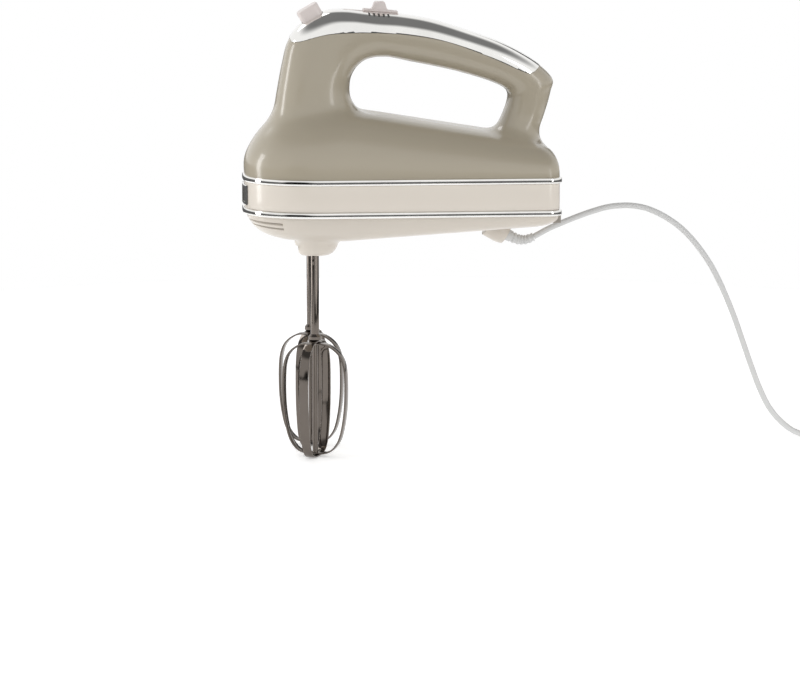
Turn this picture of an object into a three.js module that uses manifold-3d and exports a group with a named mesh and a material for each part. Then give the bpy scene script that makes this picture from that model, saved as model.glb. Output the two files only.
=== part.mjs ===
// Hand mixer with two strip beaters. Units mm, +Z up, +X towards the cord end, -X towards the nose.
// Left means -Y and right means +Y. The beaters' lowest point is at z = 0.
import * as THREE from "three";
import { mergeVertices } from "three/addons/utils/BufferGeometryUtils.js";
import Module from "manifold-3d";

const wasm = await Module();
wasm.setup();

// ---- Overall sizes ----
const BODY_LENGTH = 215;
const BODY_WIDTH = 95;
const WALL = 2.4;
const FIT = 0.3; // gap between parts that are pushed together
const RUN = 0.1; // radial gap of a running fit
const SEAT = RUN / 2; // radial gap of a bush or a bearing in its seat
const NOSE_X = -BODY_LENGTH / 2;
const REAR_X = BODY_LENGTH / 2;

// ---- Heights of the stacked layers ----
const LOWER_TRIM_Z = 167.3;
const BAND_Z = 171.3;
const UPPER_TRIM_Z = 189.5;
const UPPER_HOUSING_Z = 193.5;
const FLOOR_Z = 149.5;
const FLOOR_SLOPE = 0.068;
const SOCKET_Z = 140;
const BOARD_Z = 166;
const GEAR_PLATE_Z = [170, 173];
const HUB_Z = [178, 191];
const YOKE_Z = [202, 205];

// ---- Plan outline of the layers ----
const TRIM_PROUD = 1.3; // how far the trims stand out from the housings
const BAND_INSET = 1.3;
const NOSE_LENGTH = 62;
const NOSE_POWER = 2.5;
const REAR_RADIUS = 9;
const TRIM_WIDTH = 3;
const BADGE_Z = [173.5, 187];
const BADGE_HALF = 16;

// ---- Beaters ----
const BEATER_X = -59.5;
const BEATER_SPACING = 42;
const BEATER_TURN = 67.5; // degrees that each outer loop stands turned from the long axis
const LOOP_HEIGHT = 81;
const STRIP_WIDTH = 6.4;
const STRIP_THICK = 1.1;
const LOOP_GAP = 0.4; // between the two strips of a beater where they cross
const ROD_RADIUS = 1.9;
const SHANK_RADIUS = 2.9;
const SHANK_TOP = 178.5;
const COLLAR_RADIUS = 4.4;
const LUG_Z = [133, 138.6];

// ---- Drive ----
const MOTOR_Z = 186;
const WORM_PITCH = 3;
const GEAR_TEETH = 34;
const TOOTH_HALF = 0.52; // half the width of a gear tooth, and of the thread, at the pitch line
const TOOTH_UP = 0.88;
const TOOTH_DOWN = 1.1;
const GEAR_PITCH_RADIUS = (WORM_PITCH * GEAR_TEETH) / (2 * Math.PI);
const WORM_PITCH_RADIUS = BEATER_SPACING / 2 - GEAR_PITCH_RADIUS;
const WORM_LENGTH = 18;
const GEAR_FACE = 4;
const SHAFT_RADIUS = 2.5;
const SHAFT_FIT = SHAFT_RADIUS + SEAT;
const SPINDLE_RADIUS = 4.5;
const SPINDLE_TOP = 193.5;
const STATOR_SIZE = 46;
const STATOR_X = [-12, 14];
const STATOR_BORE = 14;
const ARMATURE_RADIUS = 13.3;
const FAN_RADIUS = 20;
const COMMUTATOR_RADIUS = 8;
const COMMUTATOR_X = [27, 37];
const NOSE_WALL_X = [-79.5, -76];
const FRONT_WALL_X = [-38, -34];
const REAR_BRACKET_X = [44, 47];
const REAR_BRACKET_Z = 166;
const BRACKET_ARM_Y = [21.6, 24.6];
const BEARING_RADIUS = 6;
const BUSH_RADIUS = 6.4;
const BRUSH_X = 32.5;
const BRUSH_HALF = 2.8;

// ---- Controls ----
const EJECT_DIR = [0.5, 0, -Math.sqrt(0.75)];
const EJECT_TOP = [-63.6, 0, 306.6];
const EJECT_TRAVEL = 6;
const CAP_TOP = [-62.7, 0, 305.4];
const CAP_HALF = [7.8, 7.6];
const CAP_DEPTH = 8.4;
const CAP_BEVEL = 1.2;
const CAP_CORNER = 1.6;
const STEM_RADIUS = 3;
const STEM_LENGTH = 42;
const SLIDER_TRAVEL = 13;
const SLIDER_STEM_X = [-16.5, -13];
const SLIDER_STEM_Z = [293, 305];
const SLOT_HALF = 2;
const TRACK_X = [-38.4, -0.7];
const TRACK_HALF = 5.2;
const TRACK_TOP = 304.6; // height of the track's face at its front end
const TRACK_SLOPE = 0.076;

// ---- Vents and cord gland ----
const VENT_SLOTS = [
  [160.4, 163],
  [155, 157.6],
];
const VENT_END = 26; // from the nose to the rear end of a vent
const GLAND_START = [61.4, 0, 156.85];
const GLAND_DIR = [0.86, 0, -0.5];
const GLAND_RADIUS = 8.5;
const GLAND_LENGTH = 15;

// ---- Cord ----
const CORD_RADIUS = 2;
const COIL_CENTRE = [322, 31.5];
const COIL_RADIUS = 23;
const COIL_Z = [1, 9];
const PLUG_Z = 6.85;
const PLUG_LENGTH = 36;
const PIN_SPACING = 18.6;
const RELIEF_RADII = [4.6, 3];

const LEFT_Y = -BEATER_SPACING / 2;
const RIGHT_Y = BEATER_SPACING / 2;

// ---- Helpers: outlines and solids ----

function solid(geometry) {
  const merged = mergeVertices(
    new THREE.BufferGeometry()
      .setAttribute("position", geometry.getAttribute("position"))
      .setIndex(geometry.index),
    1e-4,
  );
  const triVerts = new Uint32Array(merged.index.array);
  const make = () =>
    new wasm.Manifold(
      new wasm.Mesh({
        numProp: 3,
        vertProperties: merged.attributes.position.array,
        triVerts,
      }),
    );
  const made = make();
  if (made.volume() >= 0) return made;
  for (let i = 0; i < triVerts.length; i += 3) {
    [triVerts[i + 1], triVerts[i + 2]] = [triVerts[i + 2], triVerts[i + 1]];
  }
  return make();
}

const join = (...solids) => solids.reduce((a, b) => a.add(b));
const cut = (body, ...tools) => tools.reduce((a, b) => a.subtract(b), body);

// Rings of equal point count, joined into one skin and closed at both ends. An end is closed
// by a fan round its middle, or by strips straight across where both halves of a ring mirror.
function loft(rings, mirrored = false) {
  const count = rings[0].length;
  const points = rings.flat();
  const last = (rings.length - 1) * count;
  const index = [];
  for (let i = 0; i < count; i++) {
    const next = (i + 1) % count;
    for (let r = 0; r < last; r += count) {
      index.push(r + i, r + next, r + count + i);
      index.push(r + next, r + count + next, r + count + i);
    }
  }
  if (mirrored) {
    for (let i = 0; 2 * i + 1 < count; i++) {
      const [a, b] = [i, i + 1];
      const [c, d] = [count - i - 1, (count - i) % count];
      index.push(b, d, c, last + d, last + b, last + c);
      if (i > 0) index.push(b, a, d, last + a, last + b, last + d);
    }
  } else {
    const centre = (ring) =>
      ring.reduce((sum, p) => sum.add(p), new THREE.Vector3()).divideScalar(count);
    const first = points.length;
    points.push(centre(rings[0]), centre(rings[rings.length - 1]));
    for (let i = 0; i < count; i++) {
      const next = (i + 1) % count;
      index.push(first, next, i);
      index.push(first + 1, last + i, last + next);
    }
  }
  const geometry = new THREE.BufferGeometry().setFromPoints(points);
  geometry.setIndex(index);
  return solid(geometry);
}

function box([x0, x1], [y0, y1], [z0, z1]) {
  const geometry = new THREE.BoxGeometry(x1 - x0, y1 - y0, z1 - z0);
  geometry.translate((x0 + x1) / 2, (y0 + y1) / 2, (z0 + z1) / 2);
  return solid(geometry);
}

// A shape in the X-Y plane, raised from z0 to z1.
function prism(shape, z0, z1, curveSegments = 12) {
  const geometry = new THREE.ExtrudeGeometry(shape, {
    depth: z1 - z0,
    bevelEnabled: false,
    curveSegments,
  });
  geometry.translate(0, 0, z0);
  return solid(geometry);
}

// A shape in the X-Z plane, carried from y0 to y1.
function prismAcross(shape, y0, y1) {
  const geometry = new THREE.ExtrudeGeometry(shape, {
    depth: y1 - y0,
    bevelEnabled: false,
    curveSegments: 12,
  });
  geometry.rotateX(Math.PI / 2);
  geometry.translate(0, y1, 0);
  return solid(geometry);
}

// A profile of [radius, height] pairs turned about a line along dir through origin.
function turned(profile, origin, dir = [0, 0, 1], sides = 20) {
  const points = profile.map(([r, h]) => new THREE.Vector2(r, h));
  const geometry = new THREE.LatheGeometry(points, sides);
  const up = new THREE.Vector3(0, 1, 0);
  const axis = new THREE.Vector3(...dir).normalize();
  geometry.applyQuaternion(new THREE.Quaternion().setFromUnitVectors(up, axis));
  geometry.translate(...origin);
  return solid(geometry);
}

function rod(radius, origin, length, dir = [0, 0, 1], sides = 20) {
  return turned([[0, 0], [radius, 0], [radius, length], [0, length]], origin, dir, sides);
}

function tube(radius, route, steps, sides = 5) {
  const path = new THREE.CatmullRomCurve3(route.map((p) => new THREE.Vector3(...p)));
  const section = new THREE.Shape().absarc(0, 0, radius, 0, 2 * Math.PI);
  return solid(
    new THREE.ExtrudeGeometry(section, { steps, extrudePath: path, curveSegments: sides }),
  );
}

function node(name, body, material) {
  const { vertProperties, triVerts, numProp } = body.getMesh();
  const positions = new Float32Array((vertProperties.length / numProp) * 3);
  for (let i = 0; i < positions.length / 3; i++) {
    positions.set(vertProperties.subarray(i * numProp, i * numProp + 3), i * 3);
  }
  const geometry = new THREE.BufferGeometry();
  geometry.setAttribute("position", new THREE.BufferAttribute(positions, 3));
  geometry.setIndex(new THREE.BufferAttribute(triVerts, 1));
  const mesh = new THREE.Mesh(geometry, material());
  mesh.name = name;
  return mesh;
}

// ---- Materials ----

const paint = (color, roughness, metalness = 0) => () =>
  new THREE.MeshStandardMaterial({ color, roughness, metalness });
const taupePlastic = paint(0xa59d8a, 0.3);
const creamPlastic = paint(0xddd5cb, 0.35);
const whitePlastic = paint(0xe4dcd8, 0.35);
const blackPlastic = paint(0x2a2a2c, 0.6);
const whiteNylon = paint(0xe8e4d8, 0.5);
const cordPlastic = paint(0xd8d8d6, 0.5);
const rubberFoot = paint(0x9a958c, 0.8);
const chrome = paint(0xd0d0d2, 0.1, 1);
const darkChrome = paint(0x8d8782, 0.2, 1);
const steel = paint(0x9a9da1, 0.35, 1);
const laminatedSteel = paint(0x6c6e70, 0.5, 1);
const castAlloy = paint(0xb0b2b5, 0.5, 1);
const copper = paint(0xb8683a, 0.35, 1);
const brass = paint(0xc2a050, 0.3, 1);
const carbon = paint(0x303030, 0.8);
const boardGreen = paint(0x2f5a3a, 0.6);

// ---- Plan outline ----

// The outline seen from above: blunt rounded nose, straight sides and tight rear corners.
function planPoints(front, rear, half, noseSteps = 5) {
  const points = [];
  const nose = Math.min(NOSE_LENGTH, (rear - front) * 0.45);
  const corner = Math.min(REAR_RADIUS, half * 0.8);
  for (let i = 0; i <= noseSteps; i++) {
    const turn = (i / noseSteps) * (Math.PI / 2);
    const x = front + nose * (1 - Math.cos(turn) ** (2 / NOSE_POWER));
    points.push([x, half * Math.sin(turn) ** (2 / NOSE_POWER)]);
  }
  for (let i = 0; i <= 2; i++) {
    const turn = (i / 2) * (Math.PI / 2);
    points.push([
      rear - corner + corner * Math.sin(turn),
      half - corner + corner * Math.cos(turn),
    ]);
  }
  const mirrored = points.slice(1).reverse();
  return [...points, ...mirrored.map(([x, y]) => [x, -y])];
}

function planShape(inset) {
  const outline = planPoints(NOSE_X + inset, REAR_X - inset, BODY_WIDTH / 2 - inset);
  return new THREE.Shape(outline.map(([x, y]) => new THREE.Vector2(x, y)));
}

function planRing(inset, width, z0, z1) {
  return cut(prism(planShape(inset), z0, z1), prism(planShape(inset + width), z0 - 1, z1 + 1));
}

// A body between a flat parting plane and a shaped far surface, as levels of the plan outline.
// Each level: share of the way from the parting plane, and insets of the nose, rear and sides.
function shapedBody(levels, partingZ, farZ, shrink) {
  const rings = levels.map(([share, nose, rear, side]) => {
    const half = BODY_WIDTH / 2 - side - shrink;
    return planPoints(NOSE_X + nose + shrink, REAR_X - rear - shrink, half).map(([x, y]) => {
      const away = farZ(x) - Math.sign(farZ(0) - partingZ) * shrink - partingZ;
      return new THREE.Vector3(x, y, partingZ + share * away);
    });
  });
  return loft(rings, true);
}

// ---- Upper housing ----

const DOME_LEVELS = [
  [0, 1.3, 1.3, 1.3],
  [0.2, 1.3, 1.5, 1.5],
  [0.4, 4.1, 1.9, 3.1],
  [0.6, 9.3, 3.3, 6.7],
  [0.78, 16.7, 6, 12.5],
  [0.9, 22.5, 10.5, 19.5],
  [0.97, 31.5, 19.5, 27.5],
  [1, 45.5, 35.5, 37.5],
];

const domeTop = (x) => 238.4 - 0.165 * Math.max(x + 40, 0);

// Each station of the grip's hoop: outer x and z, inner x and z, half width.
const HOOP_STATIONS = [
  [-98.6, 216, -22, 203, 33],
  [-91.1, 228, -22, 224, 28],
  [-86.3, 236.3, -29, 237, 24.5],
  [-84, 247, -33.6, 246, 22.5],
  [-82.2, 257, -33.6, 257, 21.5],
  [-79.8, 269, -30, 265, 20.5],
  [-76, 283, -24, 270.3, 19.5],
  [-67.7, 294.3, -17, 272.4, 18.8],
  [-52.5, 303, -12, 272.6, 18.3],
  [-38, 304.9, -7, 272.4, 18],
  [-18, 302.8, 0, 271, 17.8],
  [0, 301.3, 8, 269.2, 17.6],
  [22, 297.4, 22, 266.4, 17.4],
  [46, 290, 39, 262.5, 17.2],
  [68.5, 281.9, 56, 257.5, 17],
  [85, 273.6, 67, 253.4, 16.6],
  [97.3, 265.3, 72.6, 250, 16.2],
  [105.3, 256.5, 74.7, 246, 15.8],
  [104, 248.7, 74, 240.5, 15.6],
  [102, 240.5, 72.4, 235.8, 15.6],
  [99, 231, 70, 230, 16],
  [96.4, 223, 66, 223, 18],
  [96, 212, 58, 209, 24],
];

const GRIP_POWER = 2.6;

function gripHoop(grow, sides = 18) {
  const power = 2 / GRIP_POWER;
  const rings = HOOP_STATIONS.map(([outerX, outerZ, innerX, innerZ, half]) => {
    const middle = new THREE.Vector3((outerX + innerX) / 2, 0, (outerZ + innerZ) / 2);
    const reach = new THREE.Vector3(outerX - innerX, 0, outerZ - innerZ).divideScalar(2);
    reach.setLength(reach.length() + grow);
    return Array.from({ length: sides }, (_, i) => {
      const turn = ((i + 0.5) / sides) * 2 * Math.PI;
      const along = Math.sign(Math.cos(turn)) * Math.abs(Math.cos(turn)) ** power;
      const across = Math.sign(Math.sin(turn)) * Math.abs(Math.sin(turn)) ** power;
      const point = middle.clone().addScaledVector(reach, along);
      return point.setY((half + grow) * across);
    });
  });
  return loft(rings);
}

// The region above the line where the chrome cover meets the housing.
function coverRegion(drop) {
  const line = new THREE.SplineCurve(
    [
      [-73.8, 283.6],
      [-67.8, 284.3],
      [-49.5, 289],
      [-25.8, 290],
      [2, 288.7],
      [30, 283.8],
      [58, 274],
      [84, 262.6],
      [90, 262],
      [96, 266.4],
    ].map(([x, z]) => new THREE.Vector2(x, z - drop)),
  );
  const shape = new THREE.Shape(line.getPoints(22));
  shape.lineTo(110, 320);
  shape.lineTo(-90, 320);
  return prismAcross(shape, -40, 40);
}

// A slab parallel to the cover's top along the speed track.
function trackSlab([x0, x1], half, above, below) {
  const face = (x) => TRACK_TOP - TRACK_SLOPE * (x - TRACK_X[0]);
  const shape = new THREE.Shape();
  shape.moveTo(x0, face(x0) + above);
  shape.lineTo(x0, face(x0) - below);
  shape.lineTo(x1, face(x1) - below);
  shape.lineTo(x1, face(x1) + above);
  return prismAcross(shape, -half, half);
}

function upperHousing() {
  const outside = join(shapedBody(DOME_LEVELS, UPPER_HOUSING_Z, domeTop, 0), gripHoop(0));
  const inside = join(
    shapedBody(DOME_LEVELS, UPPER_HOUSING_Z, domeTop, WALL),
    gripHoop(-WALL, 12),
    box([-70, -44], [-12, 12], [190, 215]),
  );
  return node("upper_housing", cut(outside, inside, coverRegion(0)), taupePlastic);
}

// The push button's square cap, or the pocket that it slides in if grown. Depth runs inwards.
function capBlock(grow, depth, bevel) {
  const [halfX, halfY] = CAP_HALF.map((half) => half + grow);
  const corner = CAP_CORNER + grow;
  const shape = new THREE.Shape();
  shape.moveTo(corner - halfX, -halfY);
  shape.lineTo(halfX - corner, -halfY);
  shape.absarc(halfX - corner, corner - halfY, corner, -Math.PI / 2, 0);
  shape.lineTo(halfX, halfY - corner);
  shape.absarc(halfX - corner, halfY - corner, corner, 0, Math.PI / 2);
  shape.lineTo(corner - halfX, halfY);
  shape.absarc(corner - halfX, halfY - corner, corner, Math.PI / 2, Math.PI);
  shape.lineTo(-halfX, corner - halfY);
  shape.absarc(corner - halfX, corner - halfY, corner, Math.PI, 1.5 * Math.PI);
  const geometry = new THREE.ExtrudeGeometry(shape, {
    depth,
    bevelEnabled: bevel > 0,
    bevelThickness: bevel,
    bevelSize: bevel,
    bevelOffset: -bevel,
    bevelSegments: 2,
    curveSegments: 3,
  });
  const inwards = new THREE.Vector3(...EJECT_DIR);
  const up = new THREE.Vector3(0, 0, 1);
  geometry.applyQuaternion(new THREE.Quaternion().setFromUnitVectors(up, inwards));
  geometry.translate(...CAP_TOP);
  return solid(geometry);
}

function handleCover() {
  const skin = gripHoop(0.4).intersect(coverRegion(-FIT));
  const track = trackSlab([TRACK_X[0] - RUN, TRACK_X[1] + RUN], TRACK_HALF + RUN, 9, 12);
  const pocket = capBlock(FIT, CAP_DEPTH + CAP_BEVEL + EJECT_TRAVEL, 0);
  return node("handle_cover", cut(skin, gripHoop(-WALL, 12), track, pocket), chrome);
}

// ---- Band and trims ----

function middleBand() {
  return node("middle_band", planRing(BAND_INSET, TRIM_WIDTH, BAND_Z, UPPER_TRIM_Z), creamPlastic);
}

function trim(name, z0, z1) {
  return node(name, planRing(0, TRIM_WIDTH + TRIM_PROUD, z0, z1), chrome);
}

function frontBadge() {
  const nose = cut(
    prism(planShape(0), BADGE_Z[0], BADGE_Z[1]),
    prism(planShape(BAND_INSET - FIT), BADGE_Z[0] - 1, BADGE_Z[1] + 1),
  );
  const front = box([NOSE_X - 10, NOSE_X + 30], [-BADGE_HALF, BADGE_HALF], BADGE_Z);
  return node("front_badge", nose.intersect(front), chrome);
}

// ---- Lower housing ----

const TUB_LEVELS = [
  [0, 2.5, 1.9, 1.5],
  [0.2, 3.1, 1.9, 1.7],
  [0.45, 4.9, 2.9, 2.9],
  [0.7, 8, 5.5, 5.5],
  [0.88, 12.5, 8.5, 9.5],
  [0.97, 19.5, 14.5, 15.5],
  [1, 31.5, 27.5, 25.5],
];

const tubFloor = (x) => {
  const rise = FLOOR_SLOPE * Math.max(x + 41, 0);
  const noseRise = 0.0042 * Math.max(-68 - x, 0) ** 2;
  return FLOOR_Z + rise + noseRise;
};

function socketBoss(y) {
  const ring = (x, radius, z) =>
    Array.from({ length: 20 }, (_, i) => {
      const turn = (i / 20) * 2 * Math.PI;
      return new THREE.Vector3(x + radius * Math.cos(turn), y + radius * Math.sin(turn), z);
    });
  return loft([
    ring(-57, 13.8, FLOOR_Z + WALL / 2),
    ring(-57, 13.6, FLOOR_Z),
    ring(-57.8, 12.8, 145.5),
    ring(-58.8, 11, 142),
    ring(BEATER_X, 9.2, SOCKET_Z),
  ]);
}

function lowerHousing() {
  const shell = cut(
    shapedBody(TUB_LEVELS, LOWER_TRIM_Z, tubFloor, 0),
    shapedBody(TUB_LEVELS, LOWER_TRIM_Z, tubFloor, WALL),
  );
  const floorAt = (x) => tubFloor(x) + WALL * 0.3;
  const post = (x, y, top, radius = 4) =>
    rod(radius, [x, y, floorAt(x)], top - floorAt(x), [0, 0, 1], 12);
  const posts = [
    post(-76, LEFT_Y - 10, GEAR_PLATE_Z[0]),
    post(-76, RIGHT_Y + 10, GEAR_PLATE_Z[0]),
    post(-34, LEFT_Y - 6, GEAR_PLATE_Z[0]),
    post(-34, RIGHT_Y + 6, GEAR_PLATE_Z[0]),
    post(63.2, -19.1, BOARD_Z, 3),
    post(63.2, 19.1, BOARD_Z, 3),
    post(85.1, -19.1, BOARD_Z, 3),
    post(85.1, 19.1, BOARD_Z, 3),
  ];
  const ribs = [
    box([-8, -5], [-17, 17], [floorAt(-5), MOTOR_Z - STATOR_SIZE / 2]),
    box([7, 10], [-17, 17], [floorAt(10), MOTOR_Z - STATOR_SIZE / 2]),
    box(REAR_BRACKET_X, [-17, 17], [floorAt(REAR_BRACKET_X[1]), REAR_BRACKET_Z]),
  ];
  const gland = turned(
    [
      [0, 0],
      [GLAND_RADIUS, 0],
      [GLAND_RADIUS, GLAND_LENGTH - 6],
      [GLAND_RADIUS - 1.3, GLAND_LENGTH],
      [0, GLAND_LENGTH],
    ],
    GLAND_START,
    GLAND_DIR,
  );
  const boreStart = GLAND_START.map((at, i) => at - 4 * GLAND_DIR[i]);
  const glandBore = rod(RELIEF_RADII[0] + FIT, boreStart, 34, GLAND_DIR, 16);
  const vents = VENT_SLOTS.map((slot) =>
    cut(
      box([NOSE_X - 10, NOSE_X + VENT_END], [-BODY_WIDTH, BODY_WIDTH], slot),
      shapedBody(TUB_LEVELS, LOWER_TRIM_Z, tubFloor, 7),
    ),
  );
  const bore = (y) => rod(SPINDLE_RADIUS + RUN, [BEATER_X, y, 130], 30);
  const body = join(shell, socketBoss(LEFT_Y), socketBoss(RIGHT_Y), ...posts, ...ribs, gland);
  return node(
    "lower_housing",
    cut(body, ...vents, bore(LEFT_Y), bore(RIGHT_Y), glandBore),
    creamPlastic,
  );
}

function heelFoot(name, side) {
  const y = side * (BODY_WIDTH / 2 - 17.5);
  const tall = 5.7;
  const z = LOWER_TRIM_Z - tall;
  const foot = box([REAR_X - 10.5, REAR_X - 0.1], [y - 6, y + 6], [z, LOWER_TRIM_Z]);
  const centre = [REAR_X - 6.1, y, z];
  const round = turned([[0, 0], [5.2, 0], [6, tall], [0, tall]], centre, [0, 0, 1], 16);
  const tub = shapedBody(TUB_LEVELS, LOWER_TRIM_Z, tubFloor, -FIT);
  return node(name, cut(join(foot, round), tub), rubberFoot);
}

// ---- Controls ----

function speedSlider() {
  const base = trackSlab([-24.7, -1], 4.2, 2, -FIT);
  const shape = new THREE.Shape();
  shape.moveTo(-22, 303.9);
  shape.quadraticCurveTo(-18.6, 304.6, -17.3, 308.8);
  shape.quadraticCurveTo(-16.8, 310.2, -15.4, 310.2);
  shape.lineTo(-11.4, 310.2);
  shape.quadraticCurveTo(-10, 310.2, -9.6, 308.6);
  shape.quadraticCurveTo(-8.6, 304.2, -4.6, 302.9);
  const knob = prismAcross(shape, -3.6, 3.6);
  const stem = box(SLIDER_STEM_X, [FIT + 0.2 - SLOT_HALF, SLOT_HALF - FIT - 0.2], SLIDER_STEM_Z);
  return node("speed_slider", join(base, knob, stem), whitePlastic);
}

// The length that the slider's stem sweeps, and some room at each end.
const slotX = (room) => [SLIDER_STEM_X[0] - SLIDER_TRAVEL - room, SLIDER_STEM_X[1] + room];

function sliderTrack() {
  const plate = trackSlab(TRACK_X, TRACK_HALF, 0.2, 4);
  const slot = box(slotX(0.8), [-SLOT_HALF, SLOT_HALF], [280, 320]);
  return node("slider_track", cut(plate, slot), whitePlastic);
}

function speedSwitch() {
  const body = trackSlab([-36, -4], 8, -4 - FIT, 16);
  const channel = box(slotX(1.2), [-SLOT_HALF, SLOT_HALF], [SLIDER_STEM_Z[0] - 1.5, 320]);
  return node("speed_switch", cut(body, channel), blackPlastic);
}

function ejectButton() {
  const cap = capBlock(0, CAP_DEPTH, CAP_BEVEL);
  const stem = rod(STEM_RADIUS, EJECT_TOP, STEM_LENGTH, EJECT_DIR, 16);
  return node("eject_button", join(cap, stem), whitePlastic);
}

function ejectYoke() {
  const plate = box([BEATER_X - 6, -38], [LEFT_Y - 5, RIGHT_Y + 5], YOKE_Z);
  const post = box([-48, -38], [-4, 4], [YOKE_Z[0], 268.3]);
  const pin = (y) => rod(2.5, [BEATER_X, y, SHANK_TOP + FIT], YOKE_Z[0] + 1 - SHANK_TOP, [0, 0, 1], 16);
  return node("eject_yoke", join(plate, post, pin(LEFT_Y), pin(RIGHT_Y)), whiteNylon);
}

// ---- Motor ----

function statorCore() {
  const half = STATOR_SIZE / 2;
  const block = box(STATOR_X, [-half, half], [MOTOR_Z - half, MOTOR_Z + half]);
  const length = STATOR_X[1] - STATOR_X[0] + 2;
  const bore = rod(STATOR_BORE, [STATOR_X[0] - 1, 0, MOTOR_Z], length, [1, 0, 0]);
  const window = (side) =>
    box(
      [STATOR_X[0] - 1, STATOR_X[1] + 1],
      side > 0 ? [STATOR_BORE - 4, 19] : [-19, 4 - STATOR_BORE],
      [MOTOR_Z - 11, MOTOR_Z + 11],
    );
  return node("stator_core", cut(block, bore, window(1), window(-1)), laminatedSteel);
}

// A flat ring of wire round one pole: end turns outside the core, sides in its slots.
function fieldCoil(name, side) {
  const z = [MOTOR_Z + side * 8.4, MOTOR_Z + side * 10.8].sort((a, b) => a - b);
  const outer = box([STATOR_X[0] - 4, STATOR_X[1] + 4], [-18.7, 18.7], z);
  const inner = box([STATOR_X[0] - 0.2, STATOR_X[1] + 0.2], [-14.6, 14.6], [z[0] - 1, z[1] + 1]);
  return node(name, cut(outer, inner), copper);
}

function armatureCore() {
  const length = STATOR_X[1] - STATOR_X[0];
  const body = rod(ARMATURE_RADIUS, [STATOR_X[0], 0, MOTOR_Z], length, [1, 0, 0]);
  const slots = Array.from({ length: 12 }, (_, i) => {
    const turn = (i / 12) * 2 * Math.PI;
    const geometry = new THREE.BoxGeometry(length + 2, 1.6, 5);
    geometry.translate(0, 0, ARMATURE_RADIUS - 1);
    geometry.rotateX(turn);
    geometry.translate((STATOR_X[0] + STATOR_X[1]) / 2, 0, MOTOR_Z);
    return solid(geometry);
  });
  const bore = rod(SHAFT_FIT, [STATOR_X[0] - 1, 0, MOTOR_Z], length + 2, [1, 0, 0]);
  return node("armature_core", cut(body, ...slots, bore), laminatedSteel);
}

function onShaft(name, profile, x, material, sides = 20) {
  const body = turned(profile, [x, 0, MOTOR_Z], [1, 0, 0], sides);
  return node(name, body, material);
}

function armatureWinding() {
  return onShaft(
    "armature_winding",
    [[SHAFT_FIT, 0], [7, 0], [8, 2.5], [8, 7], [6.5, 10.5], [SHAFT_FIT, 10.5], [SHAFT_FIT, 0]],
    STATOR_X[1] + RUN,
    copper,
  );
}

function commutator() {
  const length = COMMUTATOR_X[1] - COMMUTATOR_X[0];
  return onShaft(
    "commutator",
    [
      [SHAFT_FIT, 0],
      [COMMUTATOR_RADIUS + 1, 0],
      [COMMUTATOR_RADIUS + 1, 1.5],
      [COMMUTATOR_RADIUS, 1.5],
      [COMMUTATOR_RADIUS, length],
      [SHAFT_FIT, length],
      [SHAFT_FIT, 0],
    ],
    COMMUTATOR_X[0],
    copper,
  );
}

function coolingFan() {
  const x = -26;
  const hub = turned(
    [[SHAFT_FIT, 0], [7, 0], [7, 6], [FAN_RADIUS, 8], [FAN_RADIUS, 9.4], [SHAFT_FIT, 9.4], [SHAFT_FIT, 0]],
    [x, 0, MOTOR_Z],
    [1, 0, 0],
  );
  const blades = Array.from({ length: 9 }, (_, i) => {
    const geometry = new THREE.BoxGeometry(7.4, 1.3, FAN_RADIUS - 6.4);
    geometry.rotateX(0.35);
    geometry.translate(x + 5, 3, (FAN_RADIUS + 5.2) / 2);
    geometry.rotateX((i / 9) * 2 * Math.PI);
    geometry.translate(0, 0, MOTOR_Z);
    return solid(geometry);
  });
  return node("cooling_fan", join(hub, ...blades), blackPlastic);
}

// The shaft with its one-start right-hand worm, a gap between threads facing the right gear.
function motorShaft() {
  const steps = Math.round((WORM_LENGTH / WORM_PITCH) * 10);
  const root = WORM_PITCH_RADIUS - TOOTH_DOWN;
  const tip = WORM_PITCH_RADIUS + TOOTH_UP;
  const flank = TOOTH_HALF * 0.35;
  const rings = Array.from({ length: steps + 1 }, (_, i) => {
    const along = (i / steps - 0.5) * WORM_LENGTH;
    const turn = (2 * Math.PI * (along + WORM_PITCH / 2)) / WORM_PITCH;
    const at = (radius, dx) =>
      new THREE.Vector3(
        BEATER_X + along + dx,
        radius * Math.cos(turn),
        MOTOR_Z + radius * Math.sin(turn),
      );
    return [
      at(root - 0.5, -TOOTH_HALF - flank),
      at(tip, flank - TOOTH_HALF),
      at(tip, TOOTH_HALF - flank),
      at(root - 0.5, TOOTH_HALF + flank),
    ];
  });
  const core = rod(root, [BEATER_X - WORM_LENGTH / 2 - 2, 0, MOTOR_Z], WORM_LENGTH + 4, [1, 0, 0]);
  const shaft = rod(SHAFT_RADIUS, [-80, 0, MOTOR_Z], 134, [1, 0, 0]);
  return node("motor_shaft", join(core, loft(rings), shaft), steel);
}

// ---- Gears, spindles and bearings ----

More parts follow.
